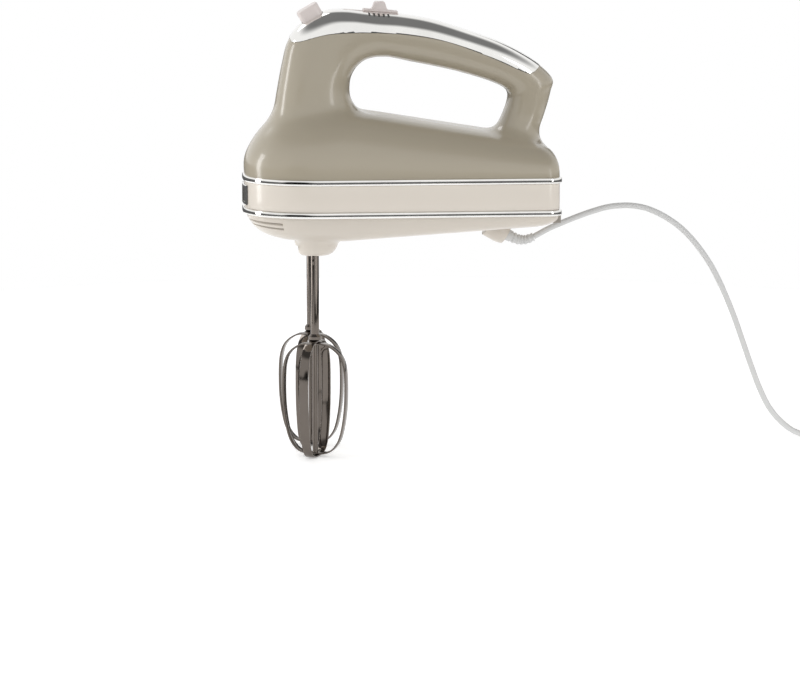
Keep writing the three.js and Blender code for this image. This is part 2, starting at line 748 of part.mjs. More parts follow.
function gear(name, y, toothTowardsWorm) {
  const outline = new THREE.Shape();
  const step = (2 * Math.PI) / GEAR_TEETH;
  const start = (y > 0 ? -Math.PI / 2 : Math.PI / 2) + (toothTowardsWorm ? 0 : step / 2);
  const root = GEAR_PITCH_RADIUS - TOOTH_DOWN;
  const tip = GEAR_PITCH_RADIUS + TOOTH_UP;
  const corners = [
    [root, -TOOTH_HALF * 1.4],
    [tip, -TOOTH_HALF * 0.6],
    [tip, TOOTH_HALF * 0.6],
    [root, TOOTH_HALF * 1.4],
  ];
  for (let i = 0; i < GEAR_TEETH; i++) {
    corners.forEach(([radius, offset], j) => {
      const turn = start + i * step + offset / radius;
      const point = [BEATER_X + radius * Math.cos(turn), y + radius * Math.sin(turn)];
      if (i + j) outline.lineTo(...point);
      else outline.moveTo(...point);
    });
  }
  const wheel = prism(outline, MOTOR_Z - GEAR_FACE / 2, MOTOR_Z + GEAR_FACE / 2);
  const hub = rod(8, [BEATER_X, y, HUB_Z[0]], HUB_Z[1] - HUB_Z[0]);
  const bore = rod(SPINDLE_RADIUS + SEAT, [BEATER_X, y, 160], 60);
  return node(name, cut(join(wheel, hub), bore), whiteNylon);
}

function spindle(name, y) {
  const bore = SHANK_RADIUS + RUN;
  const body = turned(
    [
      [bore, 141],
      [SPINDLE_RADIUS, 141],
      [SPINDLE_RADIUS, SPINDLE_TOP],
      [bore, SPINDLE_TOP],
      [bore, 141],
    ],
    [BEATER_X, y, 0],
  );
  return node(name, body, steel);
}

function spindleBush(name, y) {
  const inner = SPINDLE_RADIUS + RUN;
  const top = GEAR_PLATE_Z[1];
  const body = turned(
    [
      [inner, top - 8],
      [BUSH_RADIUS, top - 8],
      [BUSH_RADIUS, top + RUN],
      [8, top + RUN],
      [8, top + 2],
      [inner, top + 2],
      [inner, top - 8],
    ],
    [BEATER_X, y, 0],
  );
  return node(name, body, brass);
}

function bearingSeat([x0, x1]) {
  return rod(BEARING_RADIUS + SEAT, [x0 - 2, 0, MOTOR_Z], x1 - x0 + 4, [1, 0, 0]);
}

function gearPlate() {
  const plate = box([-80, -29], [LEFT_Y - 13, RIGHT_Y + 13], GEAR_PLATE_Z);
  const noseWall = box(NOSE_WALL_X, [-9, 9], [GEAR_PLATE_Z[0], MOTOR_Z + 9]);
  const frontWall = box(FRONT_WALL_X, [-13, 13], [GEAR_PLATE_Z[0], MOTOR_Z + 11]);
  const bush = (y) => rod(BUSH_RADIUS + SEAT, [BEATER_X, y, 160], 30);
  const noseSeat = bearingSeat(NOSE_WALL_X);
  const frontSeat = bearingSeat(FRONT_WALL_X);
  return node(
    "gear_plate",
    cut(join(plate, noseWall, frontWall), bush(LEFT_Y), bush(RIGHT_Y), noseSeat, frontSeat),
    castAlloy,
  );
}

function shaftBearing(name, [x0, x1]) {
  const inner = SHAFT_RADIUS + RUN;
  const body = turned(
    [[inner, 0], [BEARING_RADIUS, 0], [BEARING_RADIUS, x1 - x0], [inner, x1 - x0], [inner, 0]],
    [x0, 0, MOTOR_Z],
    [1, 0, 0],
  );
  return node(name, body, brass);
}

// A range mirrored to the side that is given as 1 or -1.
const span = ([near, far], side) => (side > 0 ? [near, far] : [-far, -near]);

function rearBracket() {
  const plate = box(REAR_BRACKET_X, [-26, 26], [REAR_BRACKET_Z, MOTOR_Z + 16]);
  const arm = (side) =>
    box([STATOR_X[1], REAR_BRACKET_X[0]], span(BRACKET_ARM_Y, side), [MOTOR_Z - 4, MOTOR_Z + 4]);
  const body = join(plate, arm(1), arm(-1));
  return node("rear_bracket", cut(body, bearingSeat(REAR_BRACKET_X)), blackPlastic);
}

function brushHolder(name, side) {
  const half = BRUSH_HALF + 0.2;
  const outside = box(
    [BRUSH_X - half - 1.4, REAR_BRACKET_X[0]],
    span([COMMUTATOR_RADIUS + 2.5, BRACKET_ARM_Y[0]], side),
    [MOTOR_Z - 4, MOTOR_Z + 4],
  );
  const inside = box(
    [BRUSH_X - half, BRUSH_X + half],
    span([COMMUTATOR_RADIUS + 1, BRACKET_ARM_Y[0] - 1.6], side),
    [MOTOR_Z - 2.5, MOTOR_Z + 2.5],
  );
  return node(name, cut(outside, inside), brass);
}

function brush(name, side) {
  const block = box(
    [BRUSH_X - BRUSH_HALF, BRUSH_X + BRUSH_HALF],
    span([COMMUTATOR_RADIUS - 0.6, BRACKET_ARM_Y[0] - 3.1], side),
    [MOTOR_Z - 2.3, MOTOR_Z + 2.3],
  );
  const face = rod(COMMUTATOR_RADIUS + RUN, [20, 0, MOTOR_Z], 30, [1, 0, 0], 48);
  return node(name, cut(block, face), carbon);
}

// ---- Electrics in the tail ----

function controlBoard() {
  const board = box([57, 93], [-25, 25], [BOARD_Z, BOARD_Z + 1.6]);
  const capacitor = box([60, 78], [-16, -6], [BOARD_Z + 1, BOARD_Z + 13]);
  const coilBlock = rod(5, [71, 10, BOARD_Z + 1], 9);
  const heatSink = box([84, 87], [-14, 14], [BOARD_Z + 1, BOARD_Z + 15]);
  return node("control_board", join(board, capacitor, coilBlock, heatSink), boardGreen);
}

// ---- Beaters ----

// Half of a strip loop: radius and height of its outer face.
const LOOP_HALF = [
  [4.2, 80.6],
  [11.7, 79.3],
  [18.8, 74.3],
  [22.8, 67],
  [24.4, 55],
  [24, 33],
  [21, 14.6],
  [16.6, 5.4],
  [10.6, 1],
];

function stripLoop(inset) {
  const side = LOOP_HALF.map(([r, z]) => [r, z * (1 - (2 * inset) / LOOP_HEIGHT) + inset]);
  const outline = [[0, LOOP_HEIGHT - inset], ...side, [0, inset]];
  const around = [...outline, ...side.toReversed().map(([r, z]) => [-r, z])];
  const curve = new THREE.CatmullRomCurve3(
    around.map(([r, z]) => new THREE.Vector3(Math.sign(r) * Math.max(Math.abs(r) - inset, 0), 0, z)),
    true,
    "centripetal",
  );
  const steps = 30;
  const outer = [];
  const inner = [];
  for (let i = 0; i < steps; i++) {
    const at = curve.getPoint(i / steps);
    const tangent = curve.getTangent(i / steps);
    outer.push(new THREE.Vector2(at.x, at.z));
    inner.push(new THREE.Vector2(at.x - tangent.z * -STRIP_THICK, at.z + tangent.x * -STRIP_THICK));
  }
  const half = STRIP_WIDTH / 2;
  return cut(
    prismAcross(new THREE.Shape(outer), -half, half),
    prismAcross(new THREE.Shape(inner), -half - 1, half + 1),
  );
}

// A piece modelled upright about the origin, stood on its beater's axis.
function placeBeater(mesh, y, extraTurn = 0) {
  mesh.rotation.z = THREE.MathUtils.degToRad(BEATER_TURN + extraTurn);
  mesh.position.set(BEATER_X, y, 0);
  return mesh;
}

function beaterLoop(name, y, inset, extraTurn) {
  const hole = rod(ROD_RADIUS + RUN / 2, [0, 0, LOOP_HEIGHT - 6], 12, [0, 0, 1], 14);
  const body = cut(stripLoop(inset), hole);
  return placeBeater(node(name, body, darkChrome), y, extraTurn);
}

function beaterShaft(name, y) {
  const foot = 2 * STRIP_THICK + LOOP_GAP + RUN;
  const collarZ = LOOP_HEIGHT + RUN;
  const body = turned(
    [
      [0, foot],
      [ROD_RADIUS, foot],
      [ROD_RADIUS, collarZ],
      [COLLAR_RADIUS, collarZ],
      [COLLAR_RADIUS, collarZ + 2.6],
      [SHANK_RADIUS, collarZ + 4],
      [SHANK_RADIUS, SHANK_TOP - 2],
      [SHANK_RADIUS - 1.2, SHANK_TOP],
      [0, SHANK_TOP],
    ],
    [0, 0, 0],
  );
  const lug = box([-SHANK_RADIUS - 1.2, SHANK_RADIUS + 1.2], [-0.7, 0.7], LUG_Z);
  return placeBeater(node(name, join(body, lug), darkChrome), y);
}

// ---- Cord ----

const RELIEF_ROUTE = [
  [65, 0, 154.76],
  [70, 0, 151.85],
  [76, 0, 148.4],
  [82, 0, 145.7],
  [87.5, 0, 145.3],
  [93, 0, 147.2],
];

function strainRelief() {
  const path = new THREE.CatmullRomCurve3(RELIEF_ROUTE.map((p) => new THREE.Vector3(...p)));
  const steps = 12;
  const rings = Array.from({ length: steps + 1 }, (_, i) => {
    const share = i / steps;
    const radius = RELIEF_RADII[0] + (RELIEF_RADII[1] - RELIEF_RADII[0]) * share;
    const at = path.getPointAt(share);
    const along = path.getTangentAt(share);
    const up = new THREE.Vector3(-along.z, 0, along.x);
    return Array.from({ length: 12 }, (_, j) => {
      const turn = (j / 12) * 2 * Math.PI;
      const point = at.clone().addScaledVector(up, radius * Math.cos(turn));
      return point.setY(radius * Math.sin(turn));
    });
  });
  return node("strain_relief", loft(rings), cordPlastic);
}

function cordClamp() {
  const block = box([50, 57], [-9, 9], [158.9, 165.5]);
  return node("cord_clamp", block, blackPlastic);
}

const CORD_ROUTE = [
  [93.3, 0, 147.4],
  [99, 0, 150.4],
  [105.2, 0, 153.6],
  [120.5, 0, 159.8],
  [135.8, 0, 165.1],
  [151.4, 0, 168.2],
  [172, 0, 166],
  [196, 0, 152],
  [217, 0, 126],
  [233, 0, 92],
  [246, 0, 56],
  [259, 0, 26],
  [277, 0, 8],
  [298, 0, 3.2],
  [320, 0, 3.2],
];

const TAIL_X = COIL_CENTRE[0] + COIL_RADIUS + 4 * CORD_RADIUS + FIT;
const TAIL_ROUTE = [
  [TAIL_X, COIL_CENTRE[1], 5],
  [TAIL_X, COIL_CENTRE[1] + 16, 5.4],
  [TAIL_X, COIL_CENTRE[1] + 34, PLUG_Z],
];

function cordCoil() {
  const half = 3 * CORD_RADIUS;
  const profile = [
    [COIL_RADIUS - half, COIL_Z[0] + 1],
    [COIL_RADIUS - half + 1, COIL_Z[0]],
    [COIL_RADIUS + half - 1, COIL_Z[0]],
    [COIL_RADIUS + half, COIL_Z[0] + 1],
    [COIL_RADIUS + half, COIL_Z[1] - 1],
    [COIL_RADIUS + half - 1, COIL_Z[1]],
    [COIL_RADIUS - half + 1, COIL_Z[1]],
    [COIL_RADIUS - half, COIL_Z[1] - 1],
    [COIL_RADIUS - half, COIL_Z[0] + 1],
  ];
  return node("cord_coil", turned(profile, [...COIL_CENTRE, 0], [0, 0, 1], 32), cordPlastic);
}

function cordTie() {
  const x = COIL_CENTRE[0] - COIL_RADIUS;
  const wide = 3 * CORD_RADIUS;
  const band = (grow, y) =>
    box(
      [x - wide - grow, x + wide + grow],
      [COIL_CENTRE[1] - y, COIL_CENTRE[1] + y],
      [COIL_Z[0] - grow, COIL_Z[1] + grow],
    );
  return node("cord_tie", cut(band(1, 3), band(0.4, 5)), blackPlastic);
}

function plugBody() {
  const x = TAIL_ROUTE[2][0];
  const y = TAIL_ROUTE[2][1] + FIT;
  const ring = (away, halfWide, halfHigh) =>
    Array.from({ length: 16 }, (_, i) => {
      const turn = ((i + 0.5) / 16) * 2 * Math.PI;
      const c = Math.cos(turn);
      const s = Math.sin(turn);
      return new THREE.Vector3(
        x + halfWide * Math.sign(c) * Math.abs(c) ** 0.6,
        y + away,
        PLUG_Z + halfHigh * Math.sign(s) * Math.abs(s) ** 0.6,
      );
    });
  const body = loft([
    ring(0, 4.4, 4),
    ring(8, 5.4, 4.8),
    ring(14, 9, 5.6),
    ring(24, 16, 6.6),
    ring(PLUG_LENGTH, 17.6, PLUG_Z),
  ]);
  return node("plug_body", body, cordPlastic);
}

function plugPin(name, side) {
  const x = TAIL_ROUTE[2][0] + (side * PIN_SPACING) / 2;
  const y = TAIL_ROUTE[2][1] + FIT + PLUG_LENGTH;
  const profile = [[0, 0], [2, 0], [2, 17.6], [1.2, 19], [0, 19]];
  return node(name, turned(profile, [x, y, PLUG_Z], [0, 1, 0], 12), brass);
}

// ---- Assembly ----

const group = new THREE.Group();
group.name = "hand_mixer";
group.add(
  upperHousing(),
  handleCover(),
  trim("upper_trim", UPPER_TRIM_Z, UPPER_HOUSING_Z),
  middleBand(),
  trim("lower_trim", LOWER_TRIM_Z, BAND_Z),
  lowerHousing(),
  frontBadge(),
  heelFoot("heel_foot_left", -1),
  heelFoot("heel_foot_right", 1),
  speedSlider(),
  sliderTrack(),
  speedSwitch(),
  ejectButton(),
  ejectYoke(),
  statorCore(),
  fieldCoil("field_coil_upper", 1),
  fieldCoil("field_coil_lower", -1),
  armatureCore(),
  armatureWinding(),
  commutator(),
  coolingFan(),
  motorShaft(),
  gear("gear_left", LEFT_Y, false),
  gear("gear_right", RIGHT_Y, true),
  spindle("spindle_left", LEFT_Y),
  spindle("spindle_right", RIGHT_Y),
  spindleBush("spindle_bush_left", LEFT_Y),
  spindleBush("spindle_bush_right", RIGHT_Y),
  gearPlate(),
  shaftBearing("nose_bearing", NOSE_WALL_X),
  shaftBearing("front_bearing", FRONT_WALL_X),
  shaftBearing("rear_bearing", REAR_BRACKET_X),
  rearBracket(),
  brushHolder("brush_holder_left", -1),
  brushHolder("brush_holder_right", 1),
  brush("brush_left", -1),
  brush("brush_right", 1),
  controlBoard(),
  cordClamp(),
  beaterShaft("beater_left_shaft", LEFT_Y),
  beaterLoop("beater_left_outer_loop", LEFT_Y, 0, 0),
  beaterLoop("beater_left_inner_loop", LEFT_Y, STRIP_THICK + LOOP_GAP, 90),
  beaterShaft("beater_right_shaft", RIGHT_Y),
  beaterLoop("beater_right_outer_loop", RIGHT_Y, 0, 0),
  beaterLoop("beater_right_inner_loop", RIGHT_Y, STRIP_THICK + LOOP_GAP, 90),
  strainRelief(),
  node("cord_lead", tube(CORD_RADIUS, CORD_ROUTE, 40), cordPlastic),
  cordCoil(),
  node("cord_tail", tube(CORD_RADIUS, TAIL_ROUTE, 4), cordPlastic),
  cordTie(),
  plugBody(),
  plugPin("plug_pin_left", -1),
  plugPin("plug_pin_right", 1),
);

export default group;
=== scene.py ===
"""Looks of the hand mixer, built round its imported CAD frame. Lengths in the tables are millimetres."""

import math

import bmesh
import bpy
import numpy as np
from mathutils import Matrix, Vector
from mathutils.bvhtree import BVHTree


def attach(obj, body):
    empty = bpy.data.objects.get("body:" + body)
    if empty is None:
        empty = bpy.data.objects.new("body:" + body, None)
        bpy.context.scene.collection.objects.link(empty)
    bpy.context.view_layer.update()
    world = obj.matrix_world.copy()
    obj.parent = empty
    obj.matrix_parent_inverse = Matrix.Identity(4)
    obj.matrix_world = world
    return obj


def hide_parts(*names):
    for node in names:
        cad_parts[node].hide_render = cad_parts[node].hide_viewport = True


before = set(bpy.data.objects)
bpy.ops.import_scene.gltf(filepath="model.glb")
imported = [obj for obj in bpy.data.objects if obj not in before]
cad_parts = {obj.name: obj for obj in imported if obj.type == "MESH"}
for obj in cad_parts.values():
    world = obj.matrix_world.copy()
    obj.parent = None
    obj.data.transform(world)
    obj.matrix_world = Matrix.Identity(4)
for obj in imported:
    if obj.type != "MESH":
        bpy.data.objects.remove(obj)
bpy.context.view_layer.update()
MM = 0.001

# ---- Sizes shared with the CAD, in millimetres ----
BODY_LENGTH = 215
BODY_WIDTH = 95
NOSE_X = -BODY_LENGTH / 2
REAR_X = BODY_LENGTH / 2
WALL = 2.4
LOWER_TRIM_Z = 167.3
BAND_Z = 171.3
UPPER_TRIM_Z = 189.5
UPPER_HOUSING_Z = 193.5
TRIM_PROUD = 1.3
TRIM_WIDTH = 3
BAND_INSET = 1.3
NOSE_LENGTH = 62
NOSE_POWER = 2.5
REAR_RADIUS = 9
FLOOR_Z = 149.5
FLOOR_SLOPE = 0.068
SOCKET_Z = 140
BEATER_X = -59.5
BEATER_SPACING = 42
BEATER_TURN = 67.5
LOOP_HEIGHT = 81
STRIP_WIDTH = 6.4
STRIP_THICK = 1.1
LOOP_GAP = 0.4
ROD_RADIUS = 1.9
SHANK_RADIUS = 2.9
SHANK_TOP = 178.5
COLLAR_RADIUS = 4.4
LUG_Z = (133, 138.6)
LUG_HALF = 0.7
LUG_REACH = 1.2
SPINDLE_RADIUS = 4.5
RUN = 0.1
FIT = 0.3
GRIP_POWER = 2.6
EJECT_DIR = Vector((0.5, 0, -math.sqrt(0.75)))
EJECT_TOP = Vector((-63.6, 0, 306.6))
CAP_TOP = (-62.7, 0, 305.4)
CAP_HALF = (7.8, 7.6)
CAP_DEPTH = 8.4
CAP_POWER = 0.42
POCKET_DEPTH = 16
STEM_RADIUS = 3
STEM_LENGTH = 42
TRACK_X = (-38.4, -0.7)
TRACK_HALF = 5.2
TRACK_TOP = 304.6
TRACK_SLOPE = 0.076
SLIDER_TRAVEL = 13
SLIDER_STEM_X = (-16.5, -13)
SLIDER_STEM_HALF = 1.5
SLIDER_STEM_Z = (293, 305)
SLOT_HALF = 2
SLOT_ROOM = 0.8
SPEED_STOPS = 5
MARK_START = -8
MARK_HALF = 0.7
BADGE_Z = (173.5, 187)
BADGE_HALF = 16
RIB_HALF = 1.5
RIB_PITCH = 4.4
RIBS_EACH_SIDE = 3
VENT_SLOTS = ((160.4, 163), (155.4, 157.8))
VENT_END = 26
VENT_SLANT = 1.2
GLAND_START = Vector((61.4, 0, 156.85))
GLAND_DIR = Vector((0.86, 0, -0.5)).normalized()
GLAND_RADIUS = 8.5
GLAND_LENGTH = 15
RELIEF_RADII = (4.6, 3)
CORD_RADIUS = 2
COIL_CENTRE = (322, 31.5)
COIL_RADIUS = 23
COIL_Z = (1, 9)
PLUG_Z = 6.85
TAIL_RUN = 34

DOME_LEVELS = [
    (0, 1.3, 1.3, 1.3),
    (0.2, 1.3, 1.5, 1.5),
    (0.4, 4.1, 1.9, 3.1),
    (0.6, 9.3, 3.3, 6.7),
    (0.78, 16.7, 6, 12.5),
    (0.9, 22.5, 10.5, 19.5),
    (0.97, 31.5, 19.5, 27.5),
    (1, 45.5, 35.5, 37.5),
]

HOOP_STATIONS = [
    (-98.6, 216, -22, 203, 33),
    (-91.1, 228, -22, 224, 28),
    (-86.3, 236.3, -29, 237, 24.5),
    (-84, 247, -33.6, 246, 22.5),
    (-82.2, 257, -33.6, 257, 21.5),
    (-79.8, 269, -30, 265, 20.5),
    (-76, 283, -24, 270.3, 19.5),
    (-67.7, 294.3, -17, 272.4, 18.8),
    (-52.5, 303, -12, 272.6, 18.3),
    (-38, 304.9, -7, 272.4, 18),
    (-18, 302.8, 0, 271, 17.8),
    (0, 301.3, 8, 269.2, 17.6),
    (22, 297.4, 22, 266.4, 17.4),
    (46, 290, 39, 262.5, 17.2),
    (68.5, 281.9, 56, 257.5, 17),
    (85, 273.6, 67, 253.4, 16.6),
    (97.3, 265.3, 72.6, 250, 16.2),
    (105.3, 256.5, 74.7, 246, 15.8),
    (104, 248.7, 74, 240.5, 15.6),
    (102, 240.5, 72.4, 235.8, 15.6),
    (99, 231, 70, 230, 16),
    (96.4, 223, 66, 223, 18),
    (96, 212, 58, 209, 24),
]

TUB_LEVELS = [
    (0, 2.5, 1.9, 1.5),
    (0.2, 3.1, 1.9, 1.7),
    (0.45, 4.9, 2.9, 2.9),
    (0.7, 8, 5.5, 5.5),
    (0.88, 12.5, 8.5, 9.5),
    (0.97, 19.5, 14.5, 15.5),
    (1, 31.5, 27.5, 25.5),
]

COVER_LINE = [
    (-73.8, 283.6),
    (-67.8, 284.3),
    (-49.5, 289),
    (-25.8, 290),
    (2, 288.7),
    (30, 283.8),
    (58, 274),
    (84, 262.6),
    (90, 262),
    (96, 266.4),
]

LOOP_HALF = [
    (4.2, 80.6),
    (11.7, 79.3),
    (18.8, 74.3),
    (22.8, 67),
    (24.4, 55),
    (24, 33),
    (21, 14.6),
    (16.6, 5.4),
    (10.6, 1),
]

RELIEF_ROUTE = [
    (65, 0, 154.76),
    (70, 0, 151.85),
    (76, 0, 148.4),
    (82, 0, 145.7),
    (87.5, 0, 145.3),
    (93, 0, 147.2),
]

CORD_ROUTE = [
    (93.3, 0, 147.4),
    (99, 0, 150.4),
    (105.2, 0, 153.6),
    (120.5, 0, 159.8),
    (135.8, 0, 165.1),
    (151.4, 0, 168.2),
    (172, 0, 166),
    (196, 0, 152),
    (217, 0, 126),
    (233, 0, 92),
    (246, 0, 56),
    (259, 0, 26),
    (277, 0, 8),
    (298, 0, 3.2),
    (320, 0, 3.2),
]

# ---- Camera ----

CAMERA_AZIMUTH = -5.0
CAMERA_ELEVATION = 9.6
CAMERA_DISTANCE = 2.6
CAMERA_LENS = 169.3
CAMERA_TARGET = Vector((0.0007, 0, 0.0704))


def add_camera():
    data = bpy.data.cameras.new("camera")
    data.lens = CAMERA_LENS
    data.clip_end = 100
    camera = bpy.data.objects.new("camera", data)
    bpy.context.scene.collection.objects.link(camera)
    turn = math.radians(CAMERA_AZIMUTH)
    lift = math.radians(CAMERA_ELEVATION)
    away = Vector(
        (
            math.sin(turn) * math.cos(lift),
            -math.cos(turn) * math.cos(lift),
            math.sin(lift),
        )
    )
    camera.location = CAMERA_TARGET + away * CAMERA_DISTANCE
    camera.rotation_euler = (-away).to_track_quat("-Z", "Y").to_euler()
    bpy.context.scene.camera = camera


# ---- Curves and meshes ----


def spline_rows(rows, per, closed=False):
    """Rows of numbers, with per steps along a Catmull-Rom curve between each two."""
    table = np.array(rows, float)
    count = len(table)
    spans = count if closed else count - 1
    out = []
    for i in range(spans):
        if closed:
            a, b, c, d = (table[(i + k) % count] for k in (-1, 0, 1, 2))
        else:
            a, b, c, d = (table[min(max(i + k, 0), count - 1)] for k in (-1, 0, 1, 2))
        for t in np.arange(per) / per:
            out.append(
                0.5
                * (
                    2 * b
                    + (c - a) * t
                    + (2 * a - 5 * b + 4 * c - d) * t**2
                    + (3 * b - a - 3 * c + d) * t**3
                )
            )
    if not closed:
        out.append(table[-1])
    return np.array(out)


def plan_points(front, rear, half, nose_steps=30, corner_steps=6, side_steps=16):
    """The outline seen from above: blunt rounded nose, straight sides and tight rear corners."""
    nose = min(NOSE_LENGTH, (rear - front) * 0.45)
    corner = min(REAR_RADIUS, half * 0.8)
    turn = np.linspace(0, math.pi / 2, nose_steps + 1)
    x = front + nose * (1 - np.cos(turn).clip(0) ** (2 / NOSE_POWER))
    y = half * np.sin(turn) ** (2 / NOSE_POWER)
    side_x = np.linspace(front + nose, rear - corner, side_steps + 1)[1:-1]
    turn = np.linspace(0, math.pi / 2, corner_steps + 1)
    corner_x = rear - corner + corner * np.sin(turn)
    corner_y = half - corner + corner * np.cos(turn)
    upper = np.column_stack(
        [
            np.concatenate([x, side_x, corner_x]),
            np.concatenate([y, np.full(len(side_x), half), corner_y]),
        ]
    )
    lower = upper[1:][::-1] * (1, -1)
    return np.concatenate([upper, lower])


def new_object(name, vertices, faces, scale=MM):
    mesh = bpy.data.meshes.new(name)
    mesh.from_pydata([tuple(v) for v in np.asarray(vertices, float) * scale], [], faces)
    mesh.update()
    piece = bpy.data.objects.new(name, mesh)
    bpy.context.scene.collection.objects.link(piece)
    tidy = bmesh.new()
    tidy.from_mesh(mesh)
    bmesh.ops.remove_doubles(tidy, verts=tidy.verts, dist=1e-7)
    bmesh.ops.recalc_face_normals(tidy, faces=tidy.faces)
    tidy.to_mesh(mesh)
    tidy.free()
    return piece


def loft(name, rings, closed=False):
    """A skin over rings of equal point count. An open one is capped at both ends."""
    rings = [np.asarray(ring, float) for ring in rings]
    count = len(rings[0])
    faces = []
    for r in range(len(rings) if closed else len(rings) - 1):
        a = r * count
        b = ((r + 1) % len(rings)) * count
        for i in range(count):
            j = (i + 1) % count
            faces.append((a + i, a + j, b + j, b + i))
    if not closed:
        last = (len(rings) - 1) * count
        faces.append(tuple(range(count))[::-1])
        faces.append(tuple(range(last, last + count)))
    return new_object(name, np.concatenate(rings), faces)


def lathe(name, profile, origin=(0, 0, 0), direction=(0, 0, 1), sides=64):
    """A profile of (radius, height) pairs turned about the line through origin."""
    turn = np.linspace(0, 2 * math.pi, sides, endpoint=False)
    rings = []
    for radius, height in profile:
        radius = max(radius, 1e-4)
        rings.append(
            np.column_stack(
                [
                    radius * np.cos(turn),
                    radius * np.sin(turn),
                    np.full(sides, height),
                ]
            )
        )
    quat = Vector((0, 0, 1)).rotation_difference(Vector(direction))
    matrix = np.array(quat.to_matrix())
    rings = [ring @ matrix.T + np.array(origin, float) for ring in rings]
    return loft(name, rings)


def prism_across(name, outline, y0, y1):
    """An outline of (x, z) pairs carried across from y0 to y1."""
    outline = np.array(outline, float)
    rings = [
        np.column_stack([outline[:, 0], np.full(len(outline), y), outline[:, 1]])
        for y in (y0, y1)
    ]
    return loft(name, rings)


def box(name, low, high):
    outline = [
        (low[0], low[2]),
        (high[0], low[2]),
        (high[0], high[2]),
        (low[0], high[2]),
    ]
    return prism_across(name, outline, low[1], high[1])


def applied(piece):
    """Bakes the piece's modifiers into its mesh."""
    bpy.context.view_layer.update()
    graph = bpy.context.evaluated_depsgraph_get()
    mesh = bpy.data.meshes.new_from_object(piece.evaluated_get(graph))
    old = piece.data
    piece.modifiers.clear()
    piece.data = mesh
    bpy.data.meshes.remove(old)
    return piece


def drop(*pieces):
    for piece in pieces:
        bpy.data.objects.remove(piece)


def boolean(piece, cutters, operation="DIFFERENCE"):
    for cutter in cutters:
        step = piece.modifiers.new("cut", "BOOLEAN")
        step.object = cutter
        step.operation = operation
        step.solver = "MANIFOLD"
    applied(piece)
    drop(*cutters)
    return piece


def bevelled(piece, width, segments=3, angle=40):
    step = piece.modifiers.new("bevel", "BEVEL")
    step.width = width * MM
    step.segments = segments
    step.limit_method = "ANGLE"
    step.angle_limit = math.radians(angle)
    step.use_clamp_overlap = True
    return applied(piece)


def smooth_shaded(piece, angle=32):
    mesh = piece.data
    mesh.shade_smooth()
    mesh.set_sharp_from_angle(angle=math.radians(angle))
    return piece


def vertices_of(mesh):
    flat = np.empty(len(mesh.vertices) * 3)
    mesh.vertices.foreach_get("co", flat)
    return flat.reshape(-1, 3)


def search_tree(piece):
    mesh = piece.data
    return BVHTree.FromPolygons(
        [v.co[:] for v in mesh.vertices], [f.vertices[:] for f in mesh.polygons]
    )


def blended_union(name, pieces, voxel, fillet, rounds=60):
    """One skin over overlapping pieces, with their surfaces kept and the corners between rounded."""
    trees = [search_tree(piece) for piece in pieces]
    base = pieces[0]
    boolean(base, list(pieces[1:]), "UNION")
    step = base.modifiers.new("skin", "REMESH")
    step.mode = "VOXEL"
    step.voxel_size = voxel * MM
    applied(base)
    mesh = base.data
    points = vertices_of(mesh)
    near = points.copy()
    weight = np.zeros(len(points))
    for i, point in enumerate(points):
        found = sorted(
            (tree.find_nearest(Vector(point)) for tree in trees), key=lambda hit: hit[3]
        )
        near[i] = found[0][0]
        weight[i] = 1 - found[1][3] / (fillet * MM)
    weight = weight.clip(0, 1)
    weight = (weight * weight * (3 - 2 * weight))[:, None]
    edges = np.array([e.vertices[:] for e in mesh.edges])
    degree = np.bincount(edges.ravel(), minlength=len(points))[:, None]
    points = near.copy()
    for _ in range(rounds):
        total = np.zeros_like(points)
        np.add.at(total, edges[:, 0], points[edges[:, 1]])
        np.add.at(total, edges[:, 1], points[edges[:, 0]])
        points += 0.9 * weight * (total / degree - points)
    mesh.vertices.foreach_set("co", points.ravel())
    mesh.update()
    base.name = name
    return base


def keep(piece, body, slot, material, *replaced, angle=32):
    """Finishes a piece: shading, material, the CAD nodes it stands for and its body. The slot argument
    is not used.
    """
    if piece.type == "MESH":
        smooth_shaded(piece, angle)
    piece.data.materials.clear()
    piece.data.materials.append(material)
    if replaced:
        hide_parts(*replaced)
    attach(piece, body)
    return piece


# ---- Materials ----


